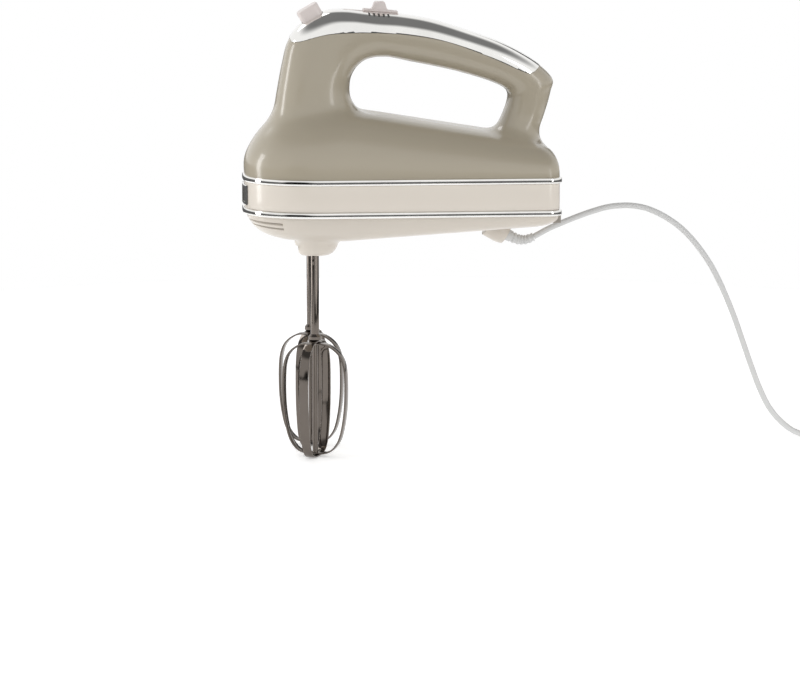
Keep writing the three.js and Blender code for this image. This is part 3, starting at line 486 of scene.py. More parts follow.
class Shader:
    """A Principled material with helpers for the layers over it."""

    def __init__(self, name):
        self.material = bpy.data.materials.new(name)
        self.material.use_nodes = True
        self.tree = self.material.node_tree
        self.main = self.tree.nodes["Principled BSDF"]
        place = self.tree.nodes.new("ShaderNodeTexCoord")
        self.place = place.outputs["Object"]

    def add(self, kind, **values):
        node = self.tree.nodes.new(kind)
        for key, value in values.items():
            if hasattr(node, key):
                setattr(node, key, value)
            else:
                node.inputs[key].default_value = value
        return node

    def link(self, out, to):
        self.tree.links.new(out, to)

    def noise(self, scale, detail=3.0, stretch=None):
        node = self.add("ShaderNodeTexNoise", Scale=scale, Detail=detail)
        source = self.place
        if stretch:
            squeeze = self.add("ShaderNodeMapping")
            squeeze.inputs["Scale"].default_value = stretch
            self.link(source, squeeze.inputs["Vector"])
            source = squeeze.outputs["Vector"]
        self.link(source, node.inputs["Vector"])
        return node.outputs["Fac"]

    def ramp(self, value, low, high, start=0.3, end=0.7):
        node = self.add("ShaderNodeMapRange")
        node.inputs["From Min"].default_value = start
        node.inputs["From Max"].default_value = end
        node.inputs["To Min"].default_value = low
        node.inputs["To Max"].default_value = high
        self.link(value, node.inputs["Value"])
        return node.outputs["Result"]

    def mixed(self, factor, first, second):
        node = self.add("ShaderNodeMix", data_type="RGBA")
        self.link(factor, node.inputs["Factor"])
        for colour, socket in ((first, node.inputs["A"]), (second, node.inputs["B"])):
            if isinstance(colour, tuple):
                socket = [s for s in node.inputs if s.name == socket.name and s.type == "RGBA"][0]
                socket.default_value = (*colour, 1)
        return [s for s in node.outputs if s.type == "RGBA"][0]

    def bump(self, value, strength, distance):
        node = self.add("ShaderNodeBump", Strength=strength)
        node.inputs["Distance"].default_value = distance
        self.link(value, node.inputs["Height"])
        self.link(node.outputs["Normal"], self.main.inputs["Normal"])

    def set(self, **values):
        for key, value in values.items():
            self.main.inputs[key.replace("_", " ")].default_value = value


def linear(colour):
    """An 8-bit display colour as linear light."""
    return tuple(
        (c / 255 / 12.92) if c <= 10 else ((c / 255 + 0.055) / 1.055) ** 2.4
        for c in colour
    )


def shaded(colour, factor):
    return tuple(min(c * factor, 1) for c in colour)


def plastic(name, colour, roughness=0.3, coat=0.3, grain=0.25):
    """Moulded plastic: slight cloudiness in the colour, uneven gloss and a fine skin."""
    made = Shader(name)
    base = linear(colour)
    cloud = made.ramp(made.noise(9, 0.5), 0, 1, 0.1, 0.9)
    made.link(
        made.mixed(cloud, shaded(base, 0.985), shaded(base, 1.015)),
        made.main.inputs["Base Color"],
    )
    gloss = made.ramp(made.noise(20, 0.5), roughness * 0.95, roughness * 1.05, 0.1, 0.9)
    made.link(gloss, made.main.inputs["Roughness"])
    made.bump(made.noise(700, 1), grain * 0.05, 0.00008)
    made.set(IOR=1.49, Coat_Weight=coat, Coat_Roughness=0.06)
    return made.material


def metal(name, colour, roughness=0.15, stretch=None, scale=60, grain=0.05):
    """Plated or turned metal: faint tarnish, fine lines along the work and uneven polish."""
    made = Shader(name)
    base = linear(colour)
    haze = made.ramp(made.noise(35, 4), 0, 1)
    made.link(
        made.mixed(haze, shaded(base, 0.92), shaded(base, 1.05)),
        made.main.inputs["Base Color"],
    )
    lines = made.noise(scale, 5, stretch)
    made.link(
        made.ramp(lines, roughness * 0.7, roughness * 1.35),
        made.main.inputs["Roughness"],
    )
    made.bump(lines, grain, 0.0001)
    made.set(Metallic=1.0)
    return made.material


def make_materials():
    return {
        "taupe": plastic("taupe_plastic", (172, 163, 145), 0.26, 0.35),
        "cream": plastic("cream_plastic", (224, 216, 205), 0.3, 0.3),
        # A darker copy of the cream plastic: painted shade for the lower housing, whose surfaces face
        # down.
        "underside": plastic("cream_painted_shade", (206, 198, 187), 0.3, 0.3),
        "white": plastic("white_plastic", (226, 216, 212), 0.38, 0.15),
        "black": plastic("black_plastic", (42, 42, 44), 0.5, 0.05, 0.6),
        "nylon": plastic("nylon", (228, 224, 212), 0.5, 0.0, 0.5),
        "rubber": plastic("foot_rubber", (152, 146, 138), 0.75, 0.0, 0.9),
        "cord": plastic("cord_pvc", (206, 206, 205), 0.45, 0.05, 0.5),
        "board": plastic("board_resist", (46, 88, 56), 0.4, 0.2),
        "carbon": plastic("brush_carbon", (38, 37, 36), 0.7, 0.0, 0.8),
        # Print colour of the speed dashes; the same dark also serves as painted shade behind the badge
        # windows.
        "mark": plastic("scale_ink_and_recess_shade", (70, 68, 66), 0.5, 0.0),
        "chrome": metal("bright_chrome", (240, 239, 236), 0.08),
        "beater": metal("beater_chrome", (112, 105, 99), 0.11, (1, 1, 0.15), 240),
        "steel": metal("turned_steel", (160, 162, 166), 0.28, (1, 1, 0.1), 300, 0.1),
        "lamination": metal("laminated_steel", (110, 112, 114), 0.45, (30, 1, 1), 120, 0.4),
        "cast": metal("cast_alloy", (178, 180, 184), 0.5, None, 500, 0.25),
        "copper": metal("wound_copper", (190, 112, 64), 0.32, (1, 40, 1), 60, 0.4),
        "brass": metal("bearing_brass", (194, 162, 88), 0.3, None, 200, 0.1),
    }


add_camera()
M = make_materials()
ROOT = "mixer_body"

# ---- Cord ----


def coil_points(per_turn=24):
    """The turns of the coil: three rings wide, two layers high, wound from outside in and back."""
    order = [(1, 0), (0, 0), (-1, 0), (-1, 1), (0, 1), (1, 1)]
    pitch = 2 * CORD_RADIUS
    middle = (COIL_Z[0] + COIL_Z[1]) / 2
    points = []
    for turn, (ring, layer) in enumerate(order):
        step = order[min(turn + 1, len(order) - 1)]
        for i in range(per_turn):
            share = i / per_turn
            ease = max(0.0, (share - 0.6) / 0.4)
            ease = ease * ease * (3 - 2 * ease)
            radius = COIL_RADIUS + pitch * (ring + (step[0] - ring) * ease)
            height = middle + pitch * (layer + (step[1] - layer) * ease - 0.5)
            angle = -math.pi / 2 + 2 * math.pi * share
            points.append(
                (
                    COIL_CENTRE[0] + radius * math.cos(angle),
                    COIL_CENTRE[1] + radius * math.sin(angle),
                    height,
                )
            )
    return points


TAIL_X = COIL_CENTRE[0] + COIL_RADIUS + 3 * CORD_RADIUS + CORD_RADIUS + FIT


def cord_route():
    """The whole run: lead from the gland, coil on the floor, and tail to the plug."""
    lead = [tuple(p) for p in spline_rows(CORD_ROUTE, 2)]
    turns = coil_points()
    exit_y = COIL_CENTRE[1]
    leave = [
        (
            COIL_CENTRE[0] + (COIL_RADIUS + 4 + 0.5 * k) * math.cos(a),
            exit_y + (COIL_RADIUS + 4 + 0.5 * k) * math.sin(a),
            7 - 0.2 * k,
        )
        for k, a in enumerate(np.radians([-90, -72, -54, -38, -24, -12]))
    ]
    tail = [
        (TAIL_X - 0.6, exit_y + 4, 5.6),
        (TAIL_X, exit_y + 16, 5.6),
        (TAIL_X, exit_y + 26, 6.4),
        (TAIL_X, exit_y + TAIL_RUN, PLUG_Z),
    ]
    return lead[:-1] + [(314, 0.2, 3.2)] + turns[1:] + leave + tail


def polyline_length(points):
    table = np.array(points)
    return float(np.linalg.norm(np.diff(table, axis=0), axis=1).sum())


def add_cord():
    points = cord_route()
    dense = spline_rows(points, 3)
    data = bpy.data.curves.new("mains_cord", "CURVE")
    data.dimensions = "3D"
    data.bevel_depth = CORD_RADIUS * MM
    data.bevel_resolution = 6
    data.use_fill_caps = True
    line = data.splines.new("POLY")
    line.points.add(len(dense) - 1)
    line.points.foreach_set(
        "co", np.column_stack([dense * MM, np.ones(len(dense))]).ravel()
    )
    line.use_smooth = True
    cord = bpy.data.objects.new("mains_cord", data)
    bpy.context.scene.collection.objects.link(cord)
    keep(cord, ROOT, "cord_plastic", M["cord"], "cord_lead", "cord_coil", "cord_tail")
    return cord, polyline_length(dense) * MM


cord, cord_length = add_cord()


def ribbed_relief():
    """The tapered sleeve at the cord's exit, with bands cut round its outer half."""
    route = spline_rows(RELIEF_ROUTE, 16)
    steps = len(route)
    rings = []
    turn = np.linspace(0, 2 * math.pi, 32, endpoint=False)
    for i, point in enumerate(route):
        share = i / (steps - 1)
        radius = RELIEF_RADII[0] + (RELIEF_RADII[1] - RELIEF_RADII[0]) * share
        if share > 0.42:
            radius -= 0.55 * (math.sin(share * 2 * math.pi * 11) > 0.2)
        along = route[min(i + 1, steps - 1)] - route[max(i - 1, 0)]
        along /= np.linalg.norm(along)
        up = np.array([-along[2], 0, along[0]])
        ring = point + radius * (
            np.outer(np.cos(turn), up) + np.outer(np.sin(turn), (0, 1, 0))
        )
        rings.append(ring)
    return loft("cord_sleeve", rings)


keep(ribbed_relief(), ROOT, "cord_plastic", M["cord"], "strain_relief")


def plug():
    """Flat two-pin plug: a neck that widens to a flattened face, with grip grooves."""
    x = TAIL_X
    y = COIL_CENTRE[1] + TAIL_RUN + FIT
    rows = [
        (0, 4.4, 4),
        (8, 5.4, 4.8),
        (14, 9, 5.6),
        (24, 16, 6.6),
        (33, 17.6, PLUG_Z - 0.1),
        (36, 17.2, PLUG_Z - 0.5),
    ]
    turn = np.linspace(0, 2 * math.pi, 48, endpoint=False)
    rings = []
    for away, wide, high in spline_rows(rows, 8):
        groove = 0.35 if 15 < away < 27 and math.sin(away * 2.4) > 0.3 else 0
        rings.append(
            np.column_stack(
                [
                    x + (wide - groove) * np.sign(np.cos(turn)) * abs(np.cos(turn)) ** 0.6,
                    np.full(len(turn), y + away),
                    PLUG_Z + (high - groove) * np.sign(np.sin(turn)) * abs(np.sin(turn)) ** 0.6,
                ]
            )
        )
    return loft("mains_plug", rings)


plug_piece = keep(plug(), ROOT, "cord_plastic", M["cord"], "plug_body")

# ---- Upper housing and cover ----


def dome_top(x):
    """Height of the dome over a point of its length: level, then sloping down to the rear."""
    return 238.4 - 0.165 * np.maximum(x + 40, 0)


def tub_floor(x):
    """Height of the tub's underside, which rises to the rear and a little at the nose."""
    rise = FLOOR_SLOPE * np.maximum(x + 41, 0)
    nose_rise = 0.0042 * np.maximum(-68 - x, 0) ** 2
    return FLOOR_Z + rise + nose_rise


def shaped_body(name, levels, parting, far, shrink=0.0, skirt=0.0):
    """A body between a parting plane and a shaped far surface. skirt carries it past the plane."""
    away = 1 if far(np.array(0.0)) > parting else -1
    rings = []
    for share, nose, rear, side in spline_rows(levels, 6):
        half = BODY_WIDTH / 2 - side - shrink
        xy = plan_points(NOSE_X + nose + shrink, REAR_X - rear - shrink, half)
        z = parting + share * (far(xy[:, 0]) - away * shrink - parting)
        rings.append(np.column_stack([xy, z]))
    if skirt:
        rings.insert(0, rings[0] - (0, 0, away * skirt))
    return loft(name, rings)


def grip_hoop(name, grow=0.0, sides=64, per=8):
    """The loop handle: rounded-square sections through the stations, each grown outwards by grow."""
    power = 2 / GRIP_POWER
    turn = np.linspace(0, 2 * math.pi, sides, endpoint=False)
    along = np.sign(np.cos(turn)) * abs(np.cos(turn)) ** power
    across = np.sign(np.sin(turn)) * abs(np.sin(turn)) ** power
    rings = []
    for outer_x, outer_z, inner_x, inner_z, half in spline_rows(HOOP_STATIONS, per):
        middle = np.array([(outer_x + inner_x) / 2, 0, (outer_z + inner_z) / 2])
        reach = np.array([outer_x - inner_x, 0, outer_z - inner_z]) / 2
        reach *= 1 + grow / np.linalg.norm(reach)
        ring = middle + np.outer(along, reach)
        ring[:, 1] = (half + grow) * across
        rings.append(ring)
    return loft(name, rings)


def cover_region(name, lift=0.0):
    """All that lies above the line where the bright cover meets the plastic."""
    line = spline_rows(COVER_LINE, 8) + (0, lift)
    outline = [tuple(p) for p in line] + [(112, 322), (-92, 322)]
    return prism_across(name, outline, -45, 45)


def upper_housing():
    """The hollow dome and the loop handle as one skin, left open where the cover sits."""
    dome = shaped_body("dome", DOME_LEVELS, UPPER_HOUSING_Z, dome_top, skirt=5)
    shell = blended_union("housing_top", [dome, grip_hoop("hoop")], voxel=1.2, fillet=13)
    cutters = [
        box("under", (-130, -70, 150), (130, 70, UPPER_HOUSING_Z)),
        shaped_body("hollow", DOME_LEVELS, UPPER_HOUSING_Z, dome_top, WALL, 2),
        grip_hoop("grip_hollow", -WALL, 32, 3),
        cover_region("over"),
    ]
    return boolean(shell, cutters)


def track_face(x):
    """Height of the track's sloping face."""
    return TRACK_TOP - TRACK_SLOPE * (x - TRACK_X[0])


def track_slab(name, span, half, above, below):
    """A slab along the sloping track, from above its face to below it."""
    start, end = span
    outline = [
        (start, track_face(start) + above),
        (start, track_face(start) - below),
        (end, track_face(end) - below),
        (end, track_face(end) + above),
    ]
    return prism_across(name, outline, -half, half)


def cap_rings(rows, grow=0.0):
    """Rounded-square rings along the push button's axis. Each row is a scale and a depth inwards."""
    half_x, half_y = (half + grow for half in CAP_HALF)
    turn = np.linspace(0, 2 * math.pi, 64, endpoint=False)
    power = CAP_POWER
    shape = np.column_stack(
        [
            half_x * np.sign(np.cos(turn)) * abs(np.cos(turn)) ** power,
            half_y * np.sign(np.sin(turn)) * abs(np.sin(turn)) ** power,
        ]
    )
    matrix = np.array(Vector((0, 0, 1)).rotation_difference(EJECT_DIR).to_matrix())
    rings = []
    for scale, depth in rows:
        ring = np.column_stack([shape * scale, np.full(len(turn), depth)])
        rings.append(ring @ matrix.T + CAP_TOP)
    return rings


def handle_cover():
    """The bright shell over the handle, with a seat for the track and a pocket for the button."""
    skin = boolean(grip_hoop("grip_cover", 0.4, 96), [cover_region("kept", FIT)], "INTERSECT")
    pocket = loft("pocket", cap_rings([(1, -1), (1, POCKET_DEPTH)], FIT))
    cutters = [
        grip_hoop("grip_hollow", -WALL, 32, 3),
        track_slab("seat", (TRACK_X[0] - RUN, TRACK_X[1] + RUN), TRACK_HALF + RUN, 9, 12),
        pocket,
    ]
    return bevelled(boolean(skin, cutters), 0.35, 2, 50)


keep(upper_housing(), ROOT, "taupe_housing", M["taupe"], "upper_housing")
keep(handle_cover(), ROOT, "chrome_trim", M["chrome"], "handle_cover")

# ---- Band, trims and badge ----


def plan_band(name, profile):
    """A closed ring round the body, whose section is a list of (inset, z) pairs."""
    rings = []
    for inset, z in profile:
        half = BODY_WIDTH / 2 - inset
        xy = plan_points(NOSE_X + inset, REAR_X - inset, half, 40, 8)
        rings.append(np.column_stack([xy, np.full(len(xy), z)]))
    return loft(name, rings, closed=True)


def bead(z0, z1):
    """A bright strip's section: flat back, slightly crowned front with rounded edges."""
    back = TRIM_WIDTH + TRIM_PROUD
    return [
        (back, z0),
        (0.75, z0),
        (0.3, z0 + 0.18),
        (0.08, z0 + 0.6),
        (0, z0 + 1.2),
        (0, z1 - 1.2),
        (0.08, z1 - 0.6),
        (0.3, z1 - 0.18),
        (0.75, z1),
        (back, z1),
    ]


def band_section():
    """The plain side band's section: flat faces with softened edges."""
    z0, z1 = BAND_Z, UPPER_TRIM_Z
    back = TRIM_WIDTH + BAND_INSET
    front = BAND_INSET
    return [
        (back, z0),
        (front + 0.5, z0),
        (front + 0.12, z0 + 0.25),
        (front, z0 + 0.9),
        (front, z1 - 0.9),
        (front + 0.12, z1 - 0.25),
        (front + 0.5, z1),
        (back, z1),
    ]


upper_bead = plan_band("trim_upper", bead(UPPER_TRIM_Z, UPPER_HOUSING_Z))
lower_bead = plan_band("trim_lower", bead(LOWER_TRIM_Z, BAND_Z))
keep(upper_bead, ROOT, "chrome_trim", M["chrome"], "upper_trim")
keep(lower_bead, ROOT, "chrome_trim", M["chrome"], "lower_trim")
keep(plan_band("band", band_section()), ROOT, "cream_housing", M["cream"], "middle_band")


def nose_badge():
    """The bright plate on the nose, with a row of plain upright windows."""
    z0, z1 = BADGE_Z
    plate = plan_band(
        "nose_badge", [(1, z0), (0.3, z0), (0, z0 + 0.4), (0, z1 - 0.4), (0.3, z1), (1, z1)]
    )
    front = box("front", (NOSE_X - 10, -BADGE_HALF, z0 - 1), (NOSE_X + 30, BADGE_HALF, z1 + 1))
    boolean(plate, [front], "INTERSECT")
    windows = []
    for rib in range(-RIBS_EACH_SIDE, RIBS_EACH_SIDE + 1):
        y = rib * RIB_PITCH
        low = (NOSE_X - 10, y - RIB_HALF, z0 + 2)
        windows.append(box("window", low, (NOSE_X + 30, y + RIB_HALF, z1 - 2)))
    return boolean(plate, windows)


def badge_recess_shade():
    """A dark sheet behind the plate's windows: painted shade that stands in for the shadow in the recess
    behind them.
    """
    z0, z1 = BADGE_Z
    sheet = plan_band("badge_recess_shade", [(0.95, z0 + 1), (0.6, z0 + 1), (0.6, z1 - 1), (0.95, z1 - 1)])
    reach = BADGE_HALF - 1
    front = box("front", (NOSE_X - 10, -reach, z0), (NOSE_X + 30, reach, z1))
    return boolean(sheet, [front], "INTERSECT")


keep(nose_badge(), ROOT, "chrome_trim", M["chrome"], "front_badge")
# The dark sheet is painted shade for the recess behind the badge windows.
keep(badge_recess_shade(), ROOT, "black_plastic", M["mark"])

# ---- Lower housing ----


def boss(name, y):
    """The rounded socket that one beater plugs into, wider where it meets the floor."""
    rows = [
        (-57, 13.8, FLOOR_Z + 5),
        (-57, 13.8, FLOOR_Z),
        (-57.5, 13.3, 145.3),
        (-58.4, 12, 142),
        (-59.2, 10.4, 140.3),
        (BEATER_X, 9.2, SOCKET_Z),
    ]
    turn = np.linspace(0, 2 * math.pi, 64, endpoint=False)
    rings = [
        np.column_stack(
            [x + radius * np.cos(turn), y + radius * np.sin(turn), np.full(64, z)]
        )
        for x, radius, z in spline_rows(rows, 5)
    ]
    return loft(name, rings)


def vent_cutter(name, z0, z1):
    """A slot that wraps round the nose of the lower housing and rises inwards."""
    xy = plan_points(NOSE_X + 2.5, REAR_X - 1.9, BODY_WIDTH / 2 - 1.5, 60)
    kept = xy[xy[:, 0] < NOSE_X + VENT_END]
    order = np.argsort(kept[:, 1])
    path = kept[order]
    rings = []
    for i, point in enumerate(path):
        along = path[min(i + 1, len(path) - 1)] - path[max(i - 1, 0)]
        along /= np.linalg.norm(along)
        outward = np.array([-along[1], along[0]])
        if outward[0] > 0:
            outward = -outward
        section = [
            (out, z - VENT_SLANT * out)
            for out, z in ((4, z0), (4, z1), (-6.5, z1), (-6.5, z0))
        ]
        rings.append(
            [(point[0] + out * outward[0], point[1] + out * outward[1], z) for out, z in section]
        )
    return loft(name, rings)


def lower_housing():
    """The cream tub with its two beater sockets, cord gland, bores and nose vents."""
    tub = shaped_body("tub", TUB_LEVELS, LOWER_TRIM_Z, tub_floor, skirt=5)
    profile = [
        (0, 0),
        (GLAND_RADIUS, 0),
        (GLAND_RADIUS, GLAND_LENGTH - 6),
        (GLAND_RADIUS - 0.3, GLAND_LENGTH - 4),
        (GLAND_RADIUS - 1.1, GLAND_LENGTH - 0.4),
        (GLAND_RADIUS - 1.6, GLAND_LENGTH),
        (0, GLAND_LENGTH),
    ]
    gland = lathe("gland", profile, GLAND_START, GLAND_DIR)
    left = boss("boss_left", -BEATER_SPACING / 2)
    right = boss("boss_right", BEATER_SPACING / 2)
    shell = blended_union("housing_bottom", [tub, left, right, gland], 1.0, 3.5, rounds=25)
    bores = [
        lathe(
            "bore",
            [(SPINDLE_RADIUS + RUN, 130), (SPINDLE_RADIUS + RUN, 160)],
            (BEATER_X, side * BEATER_SPACING / 2, 0),
        )
        for side in (-1, 1)
    ]
    cutters = [
        box("above", (-130, -70, LOWER_TRIM_Z), (130, 70, 200)),
        shaped_body("tub_hollow", TUB_LEVELS, LOWER_TRIM_Z, tub_floor, WALL, 2),
        lathe(
            "gland_bore",
            [(RELIEF_RADII[0] + 0.2, -4), (RELIEF_RADII[0] + 0.2, 30)],
            GLAND_START,
            GLAND_DIR,
        ),
    ]
    vents = [vent_cutter("vent", *slot) for slot in VENT_SLOTS]
    return boolean(shell, cutters + bores + vents)


# The lower housing takes the darker cream copy, painted shade for its downward-facing surfaces.
keep(lower_housing(), ROOT, "cream_housing", M["underside"], "lower_housing")

# ---- Controls ----


def eject_cap():
    """The push button: a rounded block with a shallow thumb dish, on its round stem."""
    rows = [
        (0.001, -0.35),
        (0.55, -0.8),
        (0.8, -1.15),
        (0.9, -1.2),
        (0.965, -0.9),
        (0.995, -0.2),
        (1, 0.8),
        (1, CAP_DEPTH),
        (0.97, CAP_DEPTH + 1.2),
    ]
    cap = loft("eject_cap", cap_rings(rows))
    stem = lathe("stem", [(STEM_RADIUS, 1), (STEM_RADIUS, STEM_LENGTH)], EJECT_TOP, EJECT_DIR, 32)
    return boolean(cap, [stem], "UNION")


def slider_knob():
    """The speed slider: a thin base plate and a waisted thumb knob."""
    base = bevelled(track_slab("base", (-24.7, -1), 4.2, 2, -FIT), 0.7)
    outline = [
        (-22, 303.9),
        (-19.6, 304.9),
        (-18.2, 306.6),
        (-17.4, 308.8),
        (-16.9, 309.8),
        (-15.6, 310.2),
        (-11.2, 310.2),
        (-10.0, 309.8),
        (-9.5, 308.6),
        (-8.6, 305.6),
        (-6.8, 303.7),
        (-4.6, 302.9),
    ]
    knob = bevelled(prism_across("speed_knob", outline, -3.6, 3.6), 0.8)
    stem = box(
        "stem",
        (SLIDER_STEM_X[0], -SLIDER_STEM_HALF, SLIDER_STEM_Z[0]),
        (SLIDER_STEM_X[1], SLIDER_STEM_HALF, SLIDER_STEM_Z[1]),
    )
    return boolean(knob, [base, stem], "UNION")


def track_plate():
    """The flush plate that the slider runs along, with a slot for the slider's stem."""
    plate = track_slab("track", TRACK_X, TRACK_HALF, 0.2, 4)
    start = SLIDER_STEM_X[0] - SLIDER_TRAVEL - SLOT_ROOM
    end = SLIDER_STEM_X[1] + SLOT_ROOM
    slot = box("slot", (start, -SLOT_HALF, 280), (end, SLOT_HALF, 320))
    return bevelled(boolean(plate, [slot]), 0.25, 2)


keep(eject_cap(), "eject", "white_controls", M["white"], "eject_button")
keep(slider_knob(), "slider", "white_controls", M["white"], "speed_slider")
keep(track_plate(), ROOT, "white_controls", M["white"], "slider_track")


def speed_mark(x):
    """One printed dash on the cover's shoulder beside the slider."""
    skin = grip_hoop("speed_mark", 0.46, 64, 6)
    edge = -TRACK_HALF - 1.5
    window = box("window", (x - MARK_HALF, -12, 294), (x + MARK_HALF, edge, 310))
    dash = boolean(skin, [window], "INTERSECT")
    return boolean(dash, [grip_hoop("inner", 0.2, 64, 6)])


for stop in range(SPEED_STOPS):
    dash = speed_mark(MARK_START - stop * SLIDER_TRAVEL / (SPEED_STOPS - 1))
    keep(dash, ROOT, "black_plastic", M["mark"])

# ---- Beaters ----


def strip_loop(name, y, inset, extra_turn):
    """A flat strip bent into a closed loop, its edges rounded."""
    side = [(r, z * (1 - 2 * inset / LOOP_HEIGHT) + inset) for r, z in LOOP_HALF]
    outline = [(0, LOOP_HEIGHT - inset)] + side + [(0, inset)]
    outline += [(-r, z) for r, z in side[::-1]]
    outline = [(np.sign(r) * max(abs(r) - inset, 0), z) for r, z in outline]
    path = spline_rows(outline, 8, closed=True)
    half = STRIP_WIDTH / 2
    section = [
        (0.35, -half),
        (0.1, -half + 0.12),
        (0, -half + 0.4),
        (0, half - 0.4),
        (0.1, half - 0.12),
        (0.35, half),
        (STRIP_THICK - 0.35, half),
        (STRIP_THICK - 0.1, half - 0.12),
        (STRIP_THICK, half - 0.4),
        (STRIP_THICK, -half + 0.4),
        (STRIP_THICK - 0.1, -half + 0.12),
        (STRIP_THICK - 0.35, -half),
    ]
    angle = math.radians(BEATER_TURN + extra_turn)
    out = np.array([math.cos(angle), math.sin(angle), 0])
    wide = np.array([-math.sin(angle), math.cos(angle), 0])
    up = np.array([0, 0, 1])
    origin = np.array([BEATER_X, y, 0])
    rings = []
    for i, (r, z) in enumerate(path):
        before, after = path[i - 1], path[(i + 1) % len(path)]
        along = (after - before) / np.linalg.norm(after - before)
        inward = (along[1], -along[0])
        rings.append(
            [
                origin + out * (r + depth * inward[0]) + up * (z + depth * inward[1]) + wide * w
                for depth, w in section
            ]
        )
    return loft(name, rings, closed=True)


def beater_shaft(name, y):
    """A beater's rod, collar and thicker shank, with the flat lug that the spindle turns."""
    foot = 2 * STRIP_THICK + LOOP_GAP + RUN
    collar = LOOP_HEIGHT + RUN
    profile = [
        (0, foot),
        (ROD_RADIUS, foot),
        (ROD_RADIUS, collar),
        (COLLAR_RADIUS - 0.3, collar),
        (COLLAR_RADIUS, collar + 0.3),
        (COLLAR_RADIUS, collar + 2.2),
        (COLLAR_RADIUS - 0.3, collar + 2.6),
        (SHANK_RADIUS, collar + 4),
        (SHANK_RADIUS, SHANK_TOP - 2),
        (SHANK_RADIUS - 1.2, SHANK_TOP),
        (0, SHANK_TOP),
    ]
    shaft = lathe(name, profile, (BEATER_X, y, 0))
    turn = math.radians(BEATER_TURN)
    reach = SHANK_RADIUS + LUG_REACH
    lug = box("lug", (-reach, -LUG_HALF, LUG_Z[0]), (reach, LUG_HALF, LUG_Z[1]))
    spun = vertices_of(lug.data)
    matrix = np.array([[math.cos(turn), -math.sin(turn)], [math.sin(turn), math.cos(turn)]])
    spun[:, :2] = spun[:, :2] @ matrix.T + np.array([BEATER_X, y]) * MM
    lug.data.vertices.foreach_set("co", spun.ravel())
    lug.data.update()
    bevelled(lug, 0.25, 2)
    return boolean(shaft, [lug], "UNION")


for side, sign in (("left", -1), ("right", 1)):
    y = sign * BEATER_SPACING / 2
    body = f"beater_{side}"
    outer = strip_loop(f"strip_outer_{side}", y, 0, 0)
    inner = strip_loop(f"strip_inner_{side}", y, STRIP_THICK + LOOP_GAP, 90)
    shaft = beater_shaft(f"shaft_{side}", y)
    keep(outer, body, "beater_metal", M["beater"], f"{body}_outer_loop")
    keep(inner, body, "beater_metal", M["beater"], f"{body}_inner_loop")
    keep(shaft, body, "beater_metal", M["beater"], f"{body}_shaft")

# ---- Carried-over CAD nodes ----

NODE_MATERIALS = {
    "rubber": ["heel_foot_left", "heel_foot_right"],
    "black": ["speed_switch", "rear_bracket", "cooling_fan", "cord_clamp", "cord_tie"],
    "nylon": ["eject_yoke", "gear_left", "gear_right"],
    "lamination": ["stator_core", "armature_core"],
    "copper": ["field_coil_upper", "field_coil_lower", "armature_winding", "commutator"],
    "steel": ["motor_shaft", "spindle_left", "spindle_right"],
    "brass": [
        "nose_bearing",
        "front_bearing",
        "rear_bearing",
        "spindle_bush_left",
        "spindle_bush_right",
        "brush_holder_left",
        "brush_holder_right",
        "plug_pin_left",
        "plug_pin_right",
    ],
    "cast": ["gear_plate"],
    "carbon": ["brush_left", "brush_right"],
    "board": ["control_board"],
}

for key, names in NODE_MATERIALS.items():
    for name in names:
        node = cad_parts[name]
        node.data.materials.clear()
        node.data.materials.append(M[key])

# ---- Floor and light ----

FLOOR_RADIUS = 0.8


def add_floor():
    turn = np.linspace(0, 2 * math.pi, 96, endpoint=False)
    rim = np.column_stack([np.cos(turn), np.sin(turn), np.zeros(len(turn))])
    floor = new_object("floor", rim * FLOOR_RADIUS, [tuple(range(len(turn)))], 1.0)
    made = Shader("floor_white")
    tone = made.ramp(made.noise(3, 2), 0.93, 0.96)
    made.link(tone, made.main.inputs["Base Color"])
    made.set(Roughness=0.6, Emission_Color=(1, 1, 1, 1), Emission_Strength=0.36)
    floor.data.materials.append(made.material)


def area_light(name, place, target, size, power, colour=(1, 1, 1)):
    data = bpy.data.lights.new(name, "AREA")
    data.shape = "RECTANGLE"
    data.size, data.size_y = size
    data.energy = power
    data.color = colour
    lamp = bpy.data.objects.new(name, data)
    bpy.context.scene.collection.objects.link(lamp)
    lamp.location = place
    aim = Vector(target) - Vector(place)
    lamp.rotation_euler = aim.to_track_quat("-Z", "Y").to_euler()
    lamp.visible_camera = False


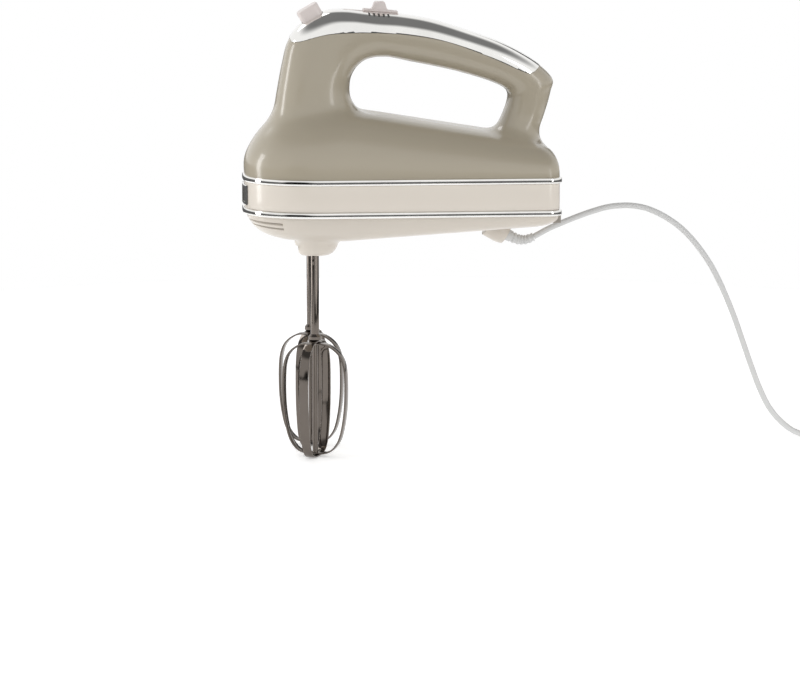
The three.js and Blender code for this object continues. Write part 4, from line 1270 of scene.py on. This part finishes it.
class Sky:
    """The room round the object: bright walls, a dim ceiling and a few dark cards."""

    def __init__(self):
        world = bpy.data.worlds.new("studio")
        bpy.context.scene.world = world
        world.use_nodes = True
        self.tree = world.node_tree
        self.back = self.tree.nodes["Background"]
        self.place = self.tree.nodes.new("ShaderNodeTexCoord").outputs["Generated"]

    def ramp(self, value, start, end, low, high):
        node = self.tree.nodes.new("ShaderNodeMapRange")
        node.interpolation_type = "SMOOTHSTEP"
        ends = (("From Min", start), ("From Max", end), ("To Min", low), ("To Max", high))
        for key, number in ends:
            node.inputs[key].default_value = number
        self.tree.links.new(value, node.inputs["Value"])
        return node.outputs["Result"]

    def facing(self, direction):
        node = self.tree.nodes.new("ShaderNodeVectorMath")
        node.operation = "DOT_PRODUCT"
        node.inputs[1].default_value = Vector(direction).normalized()
        self.tree.links.new(self.place, node.inputs[0])
        return node.outputs["Value"]

    def math(self, operation, first, second):
        node = self.tree.nodes.new("ShaderNodeMath")
        node.operation = operation
        self.tree.links.new(first, node.inputs[0])
        self.tree.links.new(second, node.inputs[1])
        return node.outputs[0]

    def card(self, direction, width, dark, soft=0.5):
        """A round dark patch of that many degrees across in that direction."""
        outer = math.cos(math.radians(width / 2))
        inner = math.cos(math.radians(width / 2 * (1 - soft)))
        return self.ramp(self.facing(direction), outer, inner, 1, dark)


def add_world():
    sky = Sky()
    height = sky.facing((0, 0, 1))
    light = sky.ramp(height, 0.6, 0.85, 1.0, 0.2)
    cards = [
        sky.ramp(height, -0.05, 0.0, 0.12, 1.0),
        sky.card((-0.42, -0.89, -0.12), 40, 0.05),
        sky.card((0.42, 0.86, 0.28), 24, 0.05),
    ]
    for card in cards:
        light = sky.math("MULTIPLY", light, card)
    seen = sky.tree.nodes.new("ShaderNodeLightPath").outputs["Is Camera Ray"]
    light = sky.math("MAXIMUM", light, seen)
    sky.tree.links.new(light, sky.back.inputs["Color"])
    sky.back.inputs["Strength"].default_value = 1.0


add_floor()
add_world()
area_light("left_box", (-1.6, 0.15, 0.42), (-0.05, 0, 0.24), (0.35, 1.1), 8)
area_light("right_box", (0.95, -1.5, 0.5), (0, 0, 0.24), (0.3, 1.1), 4)
area_light("back_box", (-0.7, 1.0, 1.4), (-0.03, 0, 0.1), (0.7, 0.7), 5)

scene = bpy.context.scene
scene.view_settings.view_transform = "Standard"
scene.view_settings.look = "None"
